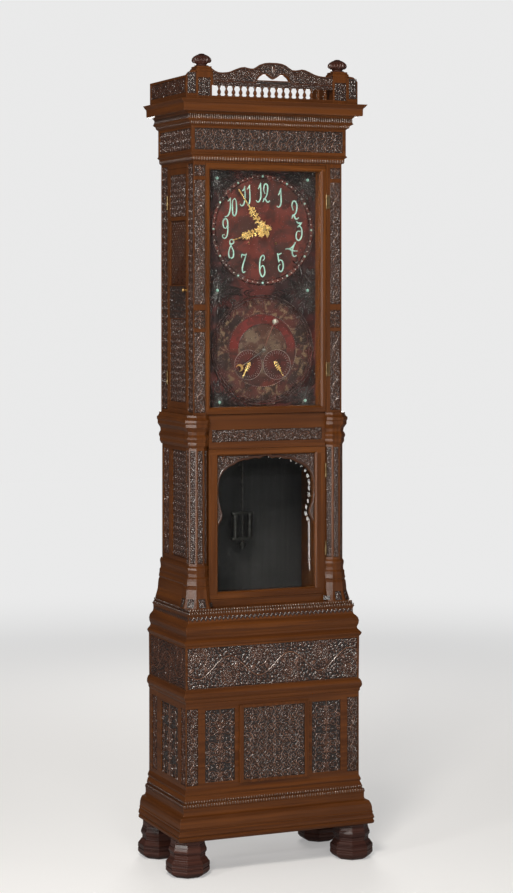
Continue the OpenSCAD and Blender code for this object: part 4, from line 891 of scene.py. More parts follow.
# The plinth's side panel keeps the front's carving, without the painted shade of the other side fields.
side_pair("plinth_side_panel", scrolls(Carving(75, 231, 1.1), 4, seed=16), side_panel_x, 112, panel_z,
          carving)
side_pair("band_side_carving", vine(Carving(130, 323, 1.2), 213, 34, 2.3, seed=22, **broad).turned(),
          301.9, 8, 594)
side_pair("frieze_side_carving", lattice(Carving(281, 69, 1.1), 12, 3, 1.2, 3.2, seed=24), 268.7, 12, 2316)
side_pair("hood_side_back", lattice(Carving(55, 801, 1.1), 2, 30, 1.2, 3.0, seed=36), 258, 3, 1471)
side_pair("hood_side_front", lattice(Carving(47, 801, 1.1), 2, 34, 1.2, 3.0, seed=37), 258, 241, 1471)
for name, tall, rows, stem_r, top, seed, x, z in (("low", 270, 13, 1.2, 3.0, 38, 258, 1501),
                                                  ("mid", 104, 5, 1.1, 1.6, 42, 262, 1774),
                                                  ("high", 137, 7, 1.2, 3.0, 39, 258, 2104)):
    field = lattice(Carving(141, tall, 1.1), 7, rows, stem_r, top, seed=seed)
    side_pair(f"side_door_{name}", field, x, 82, z, on_doors=True)
side_pair("waist_side_wide", lattice(Carving(128, 348, 1.1), 6, 17, 1.2, 3.0, seed=40), 252.5, 90, 995)
side_pair("waist_side_thin", vine(Carving(51, 348, 1.2), 80, 9, seed=41), 254.5, 12, 995)
print("carvings so far", len(made), "faces", sum(len(o.data.polygons) for o in made))

# %% [markdown]
# The pilasters are octagons, so each of their open faces carries its own narrow field, turned to face
# outwards by the same eighth of a turn. The leaves on the face beside the door are half as tall, so that
# the open door passes them.

# %% Pilaster faces
slim = vine(Carving(18, 362, 0.9), 40, 3.2, 1.1, top=2.3, seed=45, curl=0.3)
for side, tag in both_sides:
    for k, turn in enumerate((-45, 0, 45, 90)):
        a = math.radians(turn)
        out = np.array((side * math.sin(a), -math.cos(a), 0))
        across = np.array((side * math.cos(a), math.sin(a), 0))
        corner = at(side * 240.7, 265.7, 987) + (29.0 * out - 9.0 * across) * mm
        carved_field(f"pilaster_{tag}_face_{k}", slim, corner, across, (0, 0, 1), out,
                     carving if turn != 90 else side_carving)
        short = 0.5 if turn == -45 else 1.0
        foot = Carving(23, 29 * short, 0.8)
        for e in (-1, 1):
            foot.leaf(11.5, 2, math.pi / 2 - 0.55 * e, 18 * short, 7 * short, 0.25 * e, 2.4 * short)
            foot.leaf(11.5, 1, math.pi / 2 - 1.15 * e, 12 * short, 5 * short, 0.2 * e, 2.2 * short)
            foot.curl(11.5 + 7 * e, 22 * short, 4.8 * short, 1.5, 1.1, e, 1.2, 2.4 * short, 2, 0.4)
        foot.leaf(11.5, 1, math.pi / 2, 27 * short, 8 * short, 0, 2.6 * short)
        slope = math.atan2(9.6, 32)
        up = np.array((0, 0, math.cos(slope))) - math.sin(slope) * out
        face = math.cos(slope) * out + np.array((0, 0, math.sin(slope)))
        corner = at(side * 240.7, 265.7, 848) + ((31.5 + 21.2) * out - 11.5 * across) * mm
        carved_field(f"pilaster_{tag}_foot_leaf_{k}", foot, corner, across, up, face, carving)
print("carvings so far", len(made))

# %% [markdown]
# ## Beads, reeds and the leaf band
# Rows of beads run along the mouldings. One bead is a few rings of points, and a row is many beads in one
# mesh, set out evenly round the front and both sides.

# %% Simple shapes
def tube_faces(n, rings, start=0, closed=False, caps=True):
    """Faces round a row of rings with n points each. An open row gets a flat cap at both ends."""
    faces = []
    for k in range(rings if closed else rings - 1):
        p, q = start + k * n, start + (k + 1) % rings * n
        faces += [(p + i, p + (i + 1) % n, q + (i + 1) % n, q + i) for i in range(n)]
    if caps and not closed:
        faces += [tuple(range(start, start + n))[::-1]]
        faces += [tuple(range(start + (rings - 1) * n, start + rings * n))]
    return faces


def fans(n, rings, start, first, last):
    """Triangles from the point first to the first ring, and from the last ring to the point last."""
    end = start + (rings - 1) * n
    return [(first, start + (k + 1) % n, start + k) for k in range(n)] + \
        [(end + k, end + (k + 1) % n, last) for k in range(n)]


def ball(r, tall=1.0, rings=5, around=8):
    verts = [(0, 0, -r * tall)]
    for i in range(1, rings):
        a = math.pi * i / rings
        verts += [(r * math.sin(a) * math.cos(2 * math.pi * k / around),
                   r * math.sin(a) * math.sin(2 * math.pi * k / around), -r * tall * math.cos(a))
                  for k in range(around)]
    verts.append((0, 0, r * tall))
    faces = tube_faces(around, rings - 1, 1, caps=False) + fans(around, rings - 1, 1, 0, len(verts) - 1)
    return np.array(verts), faces


def dome(r, height, around=12):
    """A ball flattened from front to back, which stands half sunk in the dial."""
    verts, faces = ball(r, 1.0, 6, around)
    return verts[:, [0, 2, 1]] * (1, height / r, 1), [f[::-1] for f in faces]


def joined(parts):
    """Several shapes as one list of points and one of faces."""
    faces, count = [], 0
    for v, f in parts:
        faces += [tuple(i + count for i in g) for g in f]
        count += len(v)
    return np.concatenate([v for v, _ in parts]), faces


def repeat(shape, places):
    """Copies of one shape, each moved to a place given in metres."""
    return joined([(shape[0] * mm + p, shape[1]) for p in places])


print("a bead has", len(ball(3)[0]), "points")

# %% Bead rows
def round_case(p, z, pitch, front, back=8.0, sink=0.0):
    """Even places along the front or along both sides, p outside the hood's faces."""
    half, deep = 262 + p, 293 + p
    n, m = int(2 * half / pitch), int((deep - back) / pitch)
    if front:
        return [at(-half + (i + 0.5) * 2 * half / n, deep - sink, z) for i in range(n)]
    return [at(side * (half - sink), deep - (i + 0.5) * (deep - back) / m, z)
            for side in (-1, 1) for i in range(m)]


def bead_row(name, p, z, r, pitch, tall, front):
    """Oval beads, each on a round collar that fills the space between two of them and is painted dark as
    shade.
    """
    wide = 0.49 * pitch
    beads = repeat(ball(r, tall), round_case(p, z, pitch, front))
    shade_collars = repeat(ball(wide, tall * r / wide), round_case(p, z, pitch, front, sink=wide - 1.2))
    # the side rows take the darker copy, painted shade
    material = beading if front else side_beading_shaded
    o = make_piece(name, *joined([beads, shade_collars]), material, slot="carved_wood")
    return level_of(o, [1] * len(beads[0]) + [0] * len(shade_collars[0]), full=1.0, sharp=None)


rows = (("base_beads", 55.6, 225.0, 3.1, 9.0, 1.8), ("base_small_beads", 51.0, 236.0, 2.6, 9.0, 1.8),
        ("ledge_beads", 29.8, 831.5, 3.1, 9.0, 1.7), ("ledge_small_beads", 26.0, 841.0, 2.6, 9.0, 1.7),
        ("frieze_beads", 6.2, 2288.0, 3.1, 9.0, 2.2), ("cornice_beads", 19.0, 2403.0, 2.8, 7.65, 2.2),
        ("cornice_reeds", 26.2, 2421.5, 2.9, 7.65, 3.8))
for name, *sizes in rows:
    bead_row(f"{name}_front", *sizes, True)
    bead_row(f"{name}_sides", *sizes, False)
print("bead rows", len(rows))

# %% Leaf band of the ledge
def leaf_band(length, cell=0.9, wide=17.0, pitch=15.0):
    c = Carving(length, wide, cell)
    n = int(length / pitch)
    for k in range(n + 1):
        x = k * length / n
        c.leaf(x - pitch * 0.3, 0.5, math.radians(62), wide * 1.02, 6.5, 0.12, 2.6)
        c.leaf(x + pitch * 0.15, wide - 0.5, math.radians(-62), wide * 0.8, 4.5, 0.1, 2.2)
    return c


front_field("ledge_leaf_band_front", leaf_band(578), -289, 805, 320.6)
side_pair("ledge_leaf_band", leaf_band(300, 1.1), 289.6, 12, 805)
print("pieces", len(made))

# %% [markdown]
# ## The trunk door's arch
# The arch board follows an outline of shallow bows. The same outline gives the plain raised edge, the
# limit of the carving on the board, and the bevel that is ground on the glass behind it, so the three
# always run side by side.

# %% Arch outline
open_top, open_low, open_x = 1330.0, 891.0, 172.0


def bow(p, q, h, n):
    p, q = np.array(p, float), np.array(q, float)
    s = q - p
    u = np.array((-s[1], s[0])) / np.linalg.norm(s)
    return [p + s * t + u * h * 4 * t * (1 - t) for t in (np.arange(n) + 1) / n]


def arch_outline():
    tip, a = (0, open_top - 4), (-22, open_top - 13)
    lobe, cusp = (-64, open_top - 16), (-112, open_top - 30)
    wide, neck, foot = (4 - open_x, open_top - 98), (-155, open_top - 186), (-169, open_top - 224)
    left = [np.array(tip, float)] + bow(tip, a, -2.5, 4) + bow(a, lobe, -4, 6) + bow(lobe, cusp, -5, 6) \
        + bow(cusp, wide, -15, 10) + bow(wide, neck, -5, 8) + bow(neck, foot, 5, 6)
    return np.array([(-x, z) for x, z in left[::-1]] + left[1:])


def from_line(line, X, Z):
    """Distance of each point of a grid from a line of points."""
    best = np.full(X.shape, 1e9)
    for (x, z), (x2, z2) in zip(line[:-1], line[1:]):
        s2 = (x2 - x) ** 2 + (z2 - z) ** 2 + 1e-9
        t = np.clip(((X - x) * (x2 - x) + (Z - z) * (z2 - z)) / s2, 0, 1)
        best = np.minimum(best, (X - x - t * (x2 - x)) ** 2 + (Z - z - t * (z2 - z)) ** 2)
    return np.sqrt(best)


def inside(shape, X, Z):
    hit = np.zeros(X.shape, bool)
    for (x, z), (x2, z2) in zip(shape, np.roll(shape, -1, 0)):
        cross = (z > Z) != (z2 > Z)
        hit ^= cross & (X < (x2 - x) * (Z - z) / (z2 - z + 1e-12) + x)
    return hit


arch = arch_outline()
view = np.concatenate([arch, [(-open_x, arch[-1][1]), (-open_x, open_low), (open_x, open_low),
                              (open_x, arch[0][1])]])
print("arch points", len(arch))

# %% Arch carving and its raised edge
def mirrored_curls(c, middle, lift, top, spots):
    """Curls left and right of the middle, each given by x, z, radius and turn."""
    for side in (-1, 1):
        for x, z, r, turn in spots:
            c.curl(middle + side * x, z - lift, r, turn if side > 0 else math.pi - turn, 1.3, side, 1.2, top,
                   5, 0.4)


c = Carving(2 * open_x - 2, 231, 1.0)
X, Z = np.meshgrid(c.u - open_x + 1, c.v + open_top - 231.5)
off = from_line(arch, X, Z)
c.mask = ~inside(view, X, Z) & (off > 0.8)
board = c.mask.copy()
mirrored_curls(c, open_x - 1, open_top - 231.5, 3.6,
               ((150, 1317, 9, 0.5), (128, 1312, 13, 3.4), (153, 1288, 13, 1.2), (100, 1319, 8, 2.0),
                (66, 1321, 6, 0.4), (163, 1262, 7, 2.0)))
c.mask &= off > 8
c.z = np.where(c.mask, c.z, 0)
c.fill(seed=61, longest=11)
c.z = np.where(off < 8.2, 2.6 * np.sqrt(np.clip(1 - ((off - 4.4) / 3.9) ** 2, 0, 1)), c.z)
c.mask = board
carved_patch("arch_carving", c, at(1 - open_x, 273.3, open_top - 231.5), *front_axes, carving,
             "trunk_door")
print("arch carving", len(made[-1].data.polygons), "faces")

# %% The bevelled glass
bevel_wide, bevel_deep, margin = 17, 2.4, 3.8


def scallops(line, pitch=21.0, reach=3.0):
    """Centres of the round cuts along the arch, a little outside its edge."""
    step = np.hypot(*np.diff(line, axis=0).T)
    run = np.concatenate([[0], np.cumsum(step)])
    n = round(run[-1] / pitch)
    t = (np.arange(n) + 0.5) * run[-1] / n
    points = np.stack([np.interp(t, run, line[:, 0]), np.interp(t, run, line[:, 1])], 1)
    ahead = np.stack([np.interp(t + 1, run, line[:, 0]), np.interp(t + 1, run, line[:, 1])], 1) - points
    away = np.stack([-ahead[:, 1], ahead[:, 0]], 1) / np.hypot(*ahead.T)[:, None]
    return points - away * reach


g = Carving(2 * open_x + 2 * margin, open_top - open_low + 2 * margin, 1.4)
X, Z = np.meshgrid(g.u - open_x - margin, g.v + open_low - margin)
straight = np.array([arch[-1], (-open_x, open_low), (open_x, open_low), arch[0]])
rise = np.clip(from_line(straight, X, Z) / bevel_wide, 0, 1)
for x, z in scallops(arch):
    rise = np.minimum(rise, np.clip((np.hypot(X - x, Z - z) - 2) / bevel_wide, 0, 1))
g.z = np.where(inside(view, X, Z), rise * bevel_deep, 0)
# the grey tint of this glass stands in for the shade inside the trunk
pane = carved_field("bevelled_trunk_glass", g, at(-open_x - margin, 263.8, open_low - margin), *front_axes,
                    shade_tinted_glass, "trunk_door", "glass", sunk=1.4)
pane.visible_shadow = False
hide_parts("trunk_glass")
print("glass", len(pane.data.polygons), "faces")

# %% [markdown]
# ## The gallery
# The cresting is carved like the rest, inside a plain wavy edge. The finials are turned caps with lobes
# cut round them, so one profile is swept round while its radius rises and falls.

# %% Gallery carvings
crest_z, top_z = 2519.0, 2474.0
crest_half = [(0, 101), (14, 101), (30, 99), (44, 94), (56, 86), (67, 80), (78, 79.5), (90, 81.5),
              (100, 83.5), (112, 82), (128, 76), (144, 69), (158, 65), (176, 63), (190, 63.5), (202, 68),
              (212, 75)]
crest_x = np.array([q[0] * 214 / 212 for q in crest_half])
crest_up = np.array([q[1] + top_z + 25 for q in crest_half])
c = Carving(420, 84, 0.9)
X, Z = np.meshgrid(c.u - 210, c.v + crest_z + 0.5)
top_line = np.interp(np.abs(X), crest_x, crest_up)
gap = np.array([(-60, 21), (60, 21), (54, 35), (40, 44), (23, 45), (9, 35), (0, 31), (-9, 35), (-23, 45),
                (-40, 44), (-54, 35)]) + (0, crest_z)
hole = inside(gap, X, Z)
board = (Z < top_line - 0.8) & ~hole
c.mask = (Z < top_line - 7) & ~hole & (Z > crest_z + 17)
mirrored_curls(c, 210, 6, 3.2, ((28, 73, 8, 0.6), (52, 56, 9, 3.0), (78, 45, 12, 0.4), (104, 48, 12, 2.6),
                                (130, 40, 11, 0.2), (152, 32, 9, 3.2), (172, 30, 9, 0.4), (193, 32, 9, 2.8)))
c.leaf(210, 74, -math.pi / 2, 34, 13, 0.0, 3.4)
c.z = np.where(c.mask, c.z, 0)
c.fill(seed=62, longest=9)
c.z = np.where((Z > top_line - 6) | ((Z > crest_z + 13) & (Z < crest_z + 17) & (np.abs(X) > 60)), 2.4, c.z)
low = vine(Carving(13, 420, 0.9), 30, 2.5, 1.0, top=2.4, seed=63).turned()
c.z[:low.z.shape[0]] = np.maximum(c.z[:low.z.shape[0]], low.z[:, :c.z.shape[1]])
c.mask = board
carved_patch("crest_carving", c, at(-210, 332, crest_z + 0.5), *front_axes, carving)
side_pair("gallery_side", vine(Carving(47, 310, 1.1), 62, 9, 1.3, top=2.8, seed=51).turned(), 299, 10, 2495)
post = lattice(Carving(42, 58, 0.9), 2, 3, top=2.8, seed=52)
wing = lattice(Carving(28, 66, 0.9), 1, 3, top=2.2, seed=53)
for side, tag in both_sides:
    front_field(f"gallery_post_{tag}", post, side * 240 - 21, 2486, 329)
    front_field(f"gallery_wing_{tag}", wing, side * 284 - 14, 2493, 332)
print("pieces so far", len(made))

# %% Lobed finials
def lobed(profile, lobes, seg):
    """A turned shape given by radius, height and depth of its lobes at each level."""
    verts = []
    for r, z, depth in profile:
        for a in 2 * math.pi * np.arange(seg) / seg:
            q = r * (1 - depth * (0.5 - 0.5 * math.cos(lobes * a)) ** 2)
            verts.append((q * math.cos(a), q * math.sin(a), z))
    n, rings = len(verts), len(profile)
    verts += [(0, 0, profile[0][1]), (0, 0, profile[-1][1])]
    return np.array(verts), tube_faces(seg, rings, caps=False) + fans(seg, rings, 0, n, n + 1)


cap = [(22, 0, 0), (23.6, 3, 0), (16, 6, 0), (18, 8.5, 0), (27, 11.5, 0.05), (31, 16, 0.13),
       (32, 21, 0.16), (30, 27, 0.16), (24, 33, 0.14), (16, 37.5, 0.08), (11, 38.6, 0), (10, 40.5, 0),
       (6, 41.8, 0), (1, 42, 0)]
v, f = repeat(lobed(cap, 16, 96), [at(s * 240, 306, 2580) for s in (-1, 1)])
finials = make_piece("lobed_finials", v, f, foot_wood, slot="carved_wood", sharp=50)
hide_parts("finials")
print("gallery pieces done,", len(made), "so far")

# %% [markdown]
# ## The dial
# The plate is clouded enamel. Its zones are laid out from the two centres, so one material reads how far
# a point is from them and picks the colour: the red of the time dial, the ring of tan clouds, the bright
# half ring of the moon's window, the clouded middle and the two dark small dials.

# %% Dial zones
dial_z, lower_z, dial_d = 2063.0, 1668.5, 242.0
small_x, small_z = 50.7, lower_z - 47.3
moon_r, moon_turn = 101, math.radians(23.1)


def within(tree, place, x, z, r, soft=0.6):
    """1 inside a circle on the dial and 0 outside."""
    flat = vector_maths(tree, "MULTIPLY", place, (1, 0, 1))
    far = vector_maths(tree, "DISTANCE", flat, (x * mm, 0, z * mm), "Value")
    return ramp(tree, far, (r - soft) * mm, (r + soft) * mm, 1.0, 0.0)


def clouds(tree, first, second, fleck, scale, flecks):
    return use_group(tree, mottle, First=first, Second=second, Fleck=fleck, Scale=scale,
                     Flecks=flecks).outputs["Colour"]


def dial_material():
    m, t, b = start_material("clouded dial enamel", 0.34, coat=0.15, coat_rough=0.2, specular=0.2)
    place = place_of(t)
    tone = clouds(t, (0.046, 0.011, 0.009), (0.016, 0.008, 0.008), (0.007, 0.006, 0.006), 9.0, 0.7)
    red = clouds(t, (0.066, 0.015, 0.011), (0.030, 0.012, 0.010), (0.015, 0.010, 0.009), 13.0, 0.65)
    tan = clouds(t, (0.044, 0.013, 0.011), (0.017, 0.010, 0.009), (0.098, 0.068, 0.038), 18.0, 0.9)
    hot = clouds(t, (0.082, 0.013, 0.011), (0.056, 0.012, 0.010), (0.025, 0.010, 0.008), 17.0, 0.6)
    mid = clouds(t, (0.070, 0.048, 0.032), (0.040, 0.018, 0.013), (0.020, 0.012, 0.011), 24.0, 0.85)
    small = clouds(t, (0.046, 0.010, 0.008), (0.024, 0.009, 0.008), (0.012, 0.007, 0.006), 20.0, 0.6)
    tone = blend_colour(t, within(t, place, 0, dial_z, 180), tone, red)
    tone = blend_colour(t, within(t, place, 0, lower_z, 166), tone, tan)
    tone = blend_colour(t, within(t, place, 0, lower_z, 119), tone, red)
    above = ramp(t, place_of(t, "Z"), (lower_z + 5.5) * mm, (lower_z + 6.5) * mm)
    tone = blend_colour(t, maths(t, "MULTIPLY", within(t, place, 0, lower_z, 116), above), tone, hot)
    tone = blend_colour(t, within(t, place, 0, lower_z, 86), tone, mid)
    for x in (-small_x, small_x):
        tone = blend_colour(t, within(t, place, x, small_z, 48), tone, small)
    t.links.new(tone, b.inputs["Base Color"])
    t.links.new(ramp(t, noise(t, place, 30.0, 3.0), 0.3, 0.7, 0.28, 0.45), b.inputs["Roughness"])
    return m


def moon_material():
    m, t, b = start_material("moon ball, wire and crescent", 0.3)
    place = place_of(t)
    metallic = clouds(t, (0.85, 0.62, 0.26), (0.7, 0.45, 0.16), (0.7, 0.45, 0.16), 40.0, 0.3)
    wire = blend_colour(t, within(t, place, 0, lower_z, 82), metallic, (0.30, 0.28, 0.26))
    above = ramp(t, place_of(t, "Z"), (lower_z + 10) * mm, (lower_z + 14) * mm)
    wire = blend_colour(t, above, wire, (0.10, 0.03, 0.022))
    moon = clouds(t, (0.22, 0.22, 0.18), (0.13, 0.035, 0.028), (0.07, 0.03, 0.026), 45.0, 0.5)
    at_ball = within(t, place, moon_r * math.sin(moon_turn), lower_z + moon_r * math.cos(moon_turn), 12)
    t.links.new(blend_colour(t, at_ball, wire, moon), b.inputs["Base Color"])
    enamelled = maths(t, "MAXIMUM", at_ball, above)
    t.links.new(maths(t, "SUBTRACT", 1.0, enamelled, clamp=True), b.inputs["Metallic"])
    return m


finish("dial_plate", dial_material())
finish("moon_arm", moon_material())
for side, tag in both_sides:
    finish(f"calendar_{tag}", gilt)
print("dial zones", 8)

# %% [markdown]
# ### Leaf bursts
# Six studs stand in the corners between the dials, and from each a burst of feathery bronze leaves
# spreads over the plate and laps the rims of the dials.

# %% Bursts
def frond(c, x, y, angle, length, top, spread=0.8):
    bend = 0.14 * length * (1 if int(angle * 97) % 2 else -1)
    path = []
    for k in range(11):
        t = k / 10
        side = bend * t * t
        path.append((x + length * t * math.cos(angle) - side * math.sin(angle),
                     y + length * t * math.sin(angle) + side * math.cos(angle)))
    c.stem(path, 1.5, 0.9, top)
    n = max(2, int(length / 14))
    for k in range(n):
        t = (k + 0.9) / (n + 0.5)
        i = min(9, int(t * 10))
        (px, py), (qx, qy) = path[i], path[i + 1]
        a = math.atan2(qy - py, qx - px)
        barb = 12 + 0.22 * (1 - 0.55 * t) * length
        for side in (-1, 1):
            c.leaf(px, py, a + side * spread, barb, 6.2, -0.34 * side, top * 0.95, 0.0, 0.8)
    (px, py), (qx, qy) = path[-2:]
    c.leaf(px, py, math.atan2(qy - py, qx - px), 11, 3.4, 0, top)


def near(x, z):
    """How deep a point lies inside one of the dials."""
    return np.maximum(158 - np.hypot(x, z - dial_z), 170 - np.hypot(x, z - lower_z))


studs = [(-161, dial_z + 165), (161, dial_z + 165), (-160.5, dial_z - 199), (160.5, dial_z - 199),
         (-152.5, dial_z - 561.5), (152.5, dial_z - 561.5)]
rng = np.random.default_rng(8)
for k, (sx, sz) in enumerate(studs):
    x0, x1 = (-206, -36) if sx < 0 else (36, 206)
    z0, z1 = max(1478.0, sz - 132), min(2262.0, sz + 132)
    c = Carving(x1 - x0, z1 - z0, 0.9)
    for ring, (count, far) in enumerate(((6, 130), (6, 76))):
        for i in range(count):
            a = 2 * math.pi * (i + 0.5 * ring) / count + 0.1 * rng.random()
            length = far * (0.8 + 0.35 * rng.random())
            while length > 16 and (near(sx + length * math.cos(a), sz + length * math.sin(a)) > 8 or
                                   abs(sx + length * math.cos(a)) > 200):
                length -= 6
            frond(c, sx - x0, sz - z0, a, length, 2.2 + 0.3 * ring)
    c.flower(sx - x0, sz - z0, 17, 8, 2.9)
    X, Z = np.meshgrid(c.u + x0, c.v + z0)
    c.mask = (c.z > 0.7) & (near(X, Z) < 12) & (np.abs(X) < 205)
    carved_patch(f"dial_burst_{k}", c, at(x0, dial_d + 0.05, z0), *front_axes, bronze,
                 slot="painted_dial", full=2.8, sunk=0.2)
print("bursts", len(studs))

# %% [markdown]
# ### Rings, beads and studs
# Each rim is a small section carried round a centre, and the dots, studs and silver beads are set out
# along circles.

# %% Rims and dots
def rim(name, x, z, section, material, seg=144, start=0.0, sweep=360.0, slot="painted_dial"):
    """A closed section of (radius, height over the dial) points, carried round a centre."""
    whole = sweep >= 360
    steps = seg if whole else seg + 1
    verts = [at(x + r * math.sin(a), dial_d + h, z + r * math.cos(a))
             for a in np.radians(start + sweep * np.arange(steps) / seg) for r, h in section]
    return make_piece(name, verts, tube_faces(len(section), steps, closed=whole), material,
                      slot=slot, sharp=45)


def bar(r, w, h):
    """A rounded section of width w and height h on radius r."""
    return [(r - w / 2, 0), (r + w / 2, 0), (r + w / 2, 0.55 * h), (r + 0.25 * w, h), (r - 0.25 * w, h),
            (r - w / 2, 0.55 * h)]


def dots(name, x, z, radius, count, r, height, material, skip=(), base=0.0, slot="painted_dial"):
    places = [at(x + radius * math.sin(a), dial_d + base, z + radius * math.cos(a))
              for a in (2 * math.pi * k / count for k in range(count) if k not in skip)]
    return make_piece(name, *repeat(dome(r, height), places), material, slot=slot)


for name, z, section in (("time_rim_outer", dial_z, bar(181, 4.4, 3.6)),
                         ("time_rim_inner", dial_z, bar(167.6, 2.2, 2.6)),
                         ("lower_rim_outer", lower_z, bar(179, 5.6, 4.2)),
                         ("lower_rim_inner", lower_z, bar(170, 4.4, 3.2)),
                         ("lower_rim_line", lower_z, bar(162.5, 1.6, 1.6))):
    rim(name, 0, z, section, ring_bronze)
rim("middle_rim", 0, lower_z, bar(86, 2.2, 0.8), ring_bronze, 96, -85, 170)
dots("hour_dots", 0, dial_z, 174, 12, 3.7, 1.3, turquoise, base=1.4)
dots("minute_dots", 0, dial_z, 174, 60, 1.9, 0.8, pale_dot, skip=range(0, 60, 5), base=1.7)
dots("silver_beads", 0, lower_z, 120.5, 108, 1.9, 1.6, bead_silver, slot="silvered")
for side, tag in both_sides:
    x = side * small_x
    rim(f"small_{tag}_rim", x, small_z, bar(48.5, 0.9, 0.9), bead_silver, 96, slot="silvered")
    dots(f"small_{tag}_beads", x, small_z, 43.0, 30, 0.9, 0.8, bead_silver, slot="silvered")
stud_r, stud_high = 5.2, 2.34
stud_places = [at(x, dial_d + 2.4, z) for x, z in studs]
make_piece("turquoise_studs", *repeat(dome(stud_r, stud_high, 14), stud_places), turquoise,
           slot="painted_dial")
print("pieces so far", len(made))

# %% [markdown]
# ### Ticks of the lower dial
# The tan ring carries fine upright marks, every fifth one longer.

# %% Ticks
def ticks(name, x, z, r0, r1, count, wide, height, material, longer=5, more=0.0, slot="painted_dial"):
    """Upright bars from r0 to r1 round a centre; every one of so many begins further in."""
    verts, faces = [], []
    for k in range(count):
        a = 2 * math.pi * k / count
        faces += tube_faces(4, 2, len(verts))
        for r in (r0 - (more if k % longer == 0 else 0), r1):
            for e, h in ((0.5, 0), (-0.5, 0), (-0.5, height), (0.5, height)):
                verts.append(at(x + r * math.sin(a) + e * wide * math.cos(a), dial_d + h,
                                z + r * math.cos(a) - e * wide * math.sin(a)))
    return make_piece(name, verts, faces, material, slot=slot, smooth=False)


ticks("lower_ticks", 0, lower_z, 146, 161, 120, 0.9, 0.5, ring_bronze, 10, 10)
for side, tag in both_sides:
    ticks(f"small_{tag}_ticks", side * small_x, small_z, 36, 40.5, 31, 0.8, 0.4, bead_silver, slot="silvered")
print("pieces so far", len(made))

# %% [markdown]
# ### Numerals
# The numerals are slim old-style figures of raised enamel. Each stroke is a few points, made smooth and
# swept with a flat section that swells in the middle and ends in a drop.

# %% Numeral strokes, in millimetres from the dial's middle
figures = {
    "12": [[(-15, 134), (-10, 142), (-7, 151)],
           [(-7, 151), (-6, 125), (-6, 106), (-12, 93), (-18, 90), (-22, 94)],
           [(8, 119), (4, 130), (6, 145), (12, 150), (18, 143), (18, 128), (15, 113), (7, 100), (2, 92)],
           [(2, 92), (5, 100), (10, 100), (15, 92), (20, 90), (24, 94)]],
    "1": [[(57, 115), (61, 122), (65, 135)], [(65, 135), (66, 108), (66, 89), (62, 78), (56, 74), (52, 77)]],
    "2": [[(109, 66), (105, 80), (108, 92), (115, 95), (122, 86), (123, 71), (119, 56), (109, 45),
           (105, 39)],
          [(105, 39), (108, 48), (113, 48), (117, 38), (123, 36), (128, 40)]],
    "3": [[(123, 27), (128, 23), (140, 24)], [(140, 24), (134, 17), (126, 10)],
          [(126, 10), (134, 12), (140, 4), (141, -15), (136, -29), (128, -34), (121, -27), (121, -12),
           (126, -4), (134, -4)]],
    "4": [[(117, -41), (110, -52), (99, -61), (83, -63)], [(83, -63), (93, -62), (108, -68), (123, -69)],
          [(116, -45), (110, -57), (106, -71), (109, -84), (115, -87), (120, -84)]],
    "5": [[(53, -79), (58, -81), (66, -77)], [(54, -80), (56, -91), (58, -105)],
          [(58, -105), (62, -99), (70, -102), (74, -117), (71, -132), (65, -137), (58, -131), (57, -120),
           (62, -114)]],
    "6": [[(2, -100), (6, -96), (6, -88), (1, -84), (-7, -93), (-10, -113), (-10, -136), (-4, -151),
           (2, -153), (8, -141), (6, -126), (2, -118), (-4, -120), (-8, -128)]],
    "7": [[(-75, -90), (-73, -82), (-66, -84), (-58, -81)],
          [(-58, -81), (-63, -97), (-70, -118), (-72, -133), (-68, -141), (-63, -138)]],
    "8": [[(-115, -36), (-109, -33), (-103, -38), (-103, -44), (-109, -48), (-116, -44), (-115, -36)],
          [(-109, -48), (-116, -61), (-120, -77), (-118, -90), (-111, -94), (-104, -89), (-103, -74),
           (-108, -60), (-116, -47)]],
    "9": [[(-125, 11), (-130, 3), (-137, 6), (-140, 17), (-138, 29), (-131, 34), (-125, 29), (-123, 14),
           (-123, -7), (-127, -23), (-134, -30), (-141, -26), (-141, -19), (-136, -18)]],
    "10": [[(-122, 92), (-118, 95), (-114, 101)],
           [(-114, 101), (-114, 73), (-117, 55), (-123, 44), (-132, 40)],
           [(-99, 100), (-106, 92), (-107, 71), (-105, 50), (-100, 44), (-94, 51), (-92, 71), (-94, 92),
            (-99, 100)]],
    "11": [[(-71, 126), (-66, 130), (-63, 140)],
           [(-63, 140), (-62, 111), (-64, 92), (-68, 80), (-75, 77), (-79, 81)],
           [(-54, 132), (-50, 136), (-46, 144)],
           [(-46, 144), (-45, 116), (-45, 95), (-48, 84), (-53, 79)]],
}


def smooth(points, steps=5):
    """A curve through all the points, with so many steps between two of them."""
    p = np.array(points, float)
    p = np.concatenate([[2 * p[0] - p[1]], p, [2 * p[-1] - p[-2]]])
    out = []
    for a, b, c, d in zip(p, p[1:], p[2:], p[3:]):
        for t in np.arange(steps) / steps:
            out.append(0.5 * (2 * b + (c - a) * t + (2 * a - 5 * b + 4 * c - d) * t * t
                              + (3 * b - a - 3 * c + d) * t ** 3))
    return np.array(out + [p[-2]])


def stroke(points, wide=4.5, height=1.2):
    """A section carried along the stroke, and a drop at each of its ends."""
    p = smooth(points)
    tangent = np.gradient(p, axis=0)
    tangent /= np.linalg.norm(tangent, axis=1)[:, None] + 1e-9
    verts = []
    for (x, z), (tx, tz), t in zip(p, tangent, np.linspace(0, 1, len(p))):
        w = wide * (0.5 + 0.5 * min(1.0, 3.2 * min(t, 1 - t)))
        for e, h in ((0.5, 0), (0.5, 0.5), (0.28, 1), (-0.28, 1), (-0.5, 0.5), (-0.5, 0)):
            verts.append(at(x - e * w * tz, dial_d + h * height, dial_z + z + e * w * tx))
    ends = [at(x, dial_d + 0.5 * height, dial_z + z) for x, z in (p[0], p[-1])]
    return [(verts, tube_faces(6, len(p))), repeat(dome(0.46 * wide, 0.55 * height), ends)]


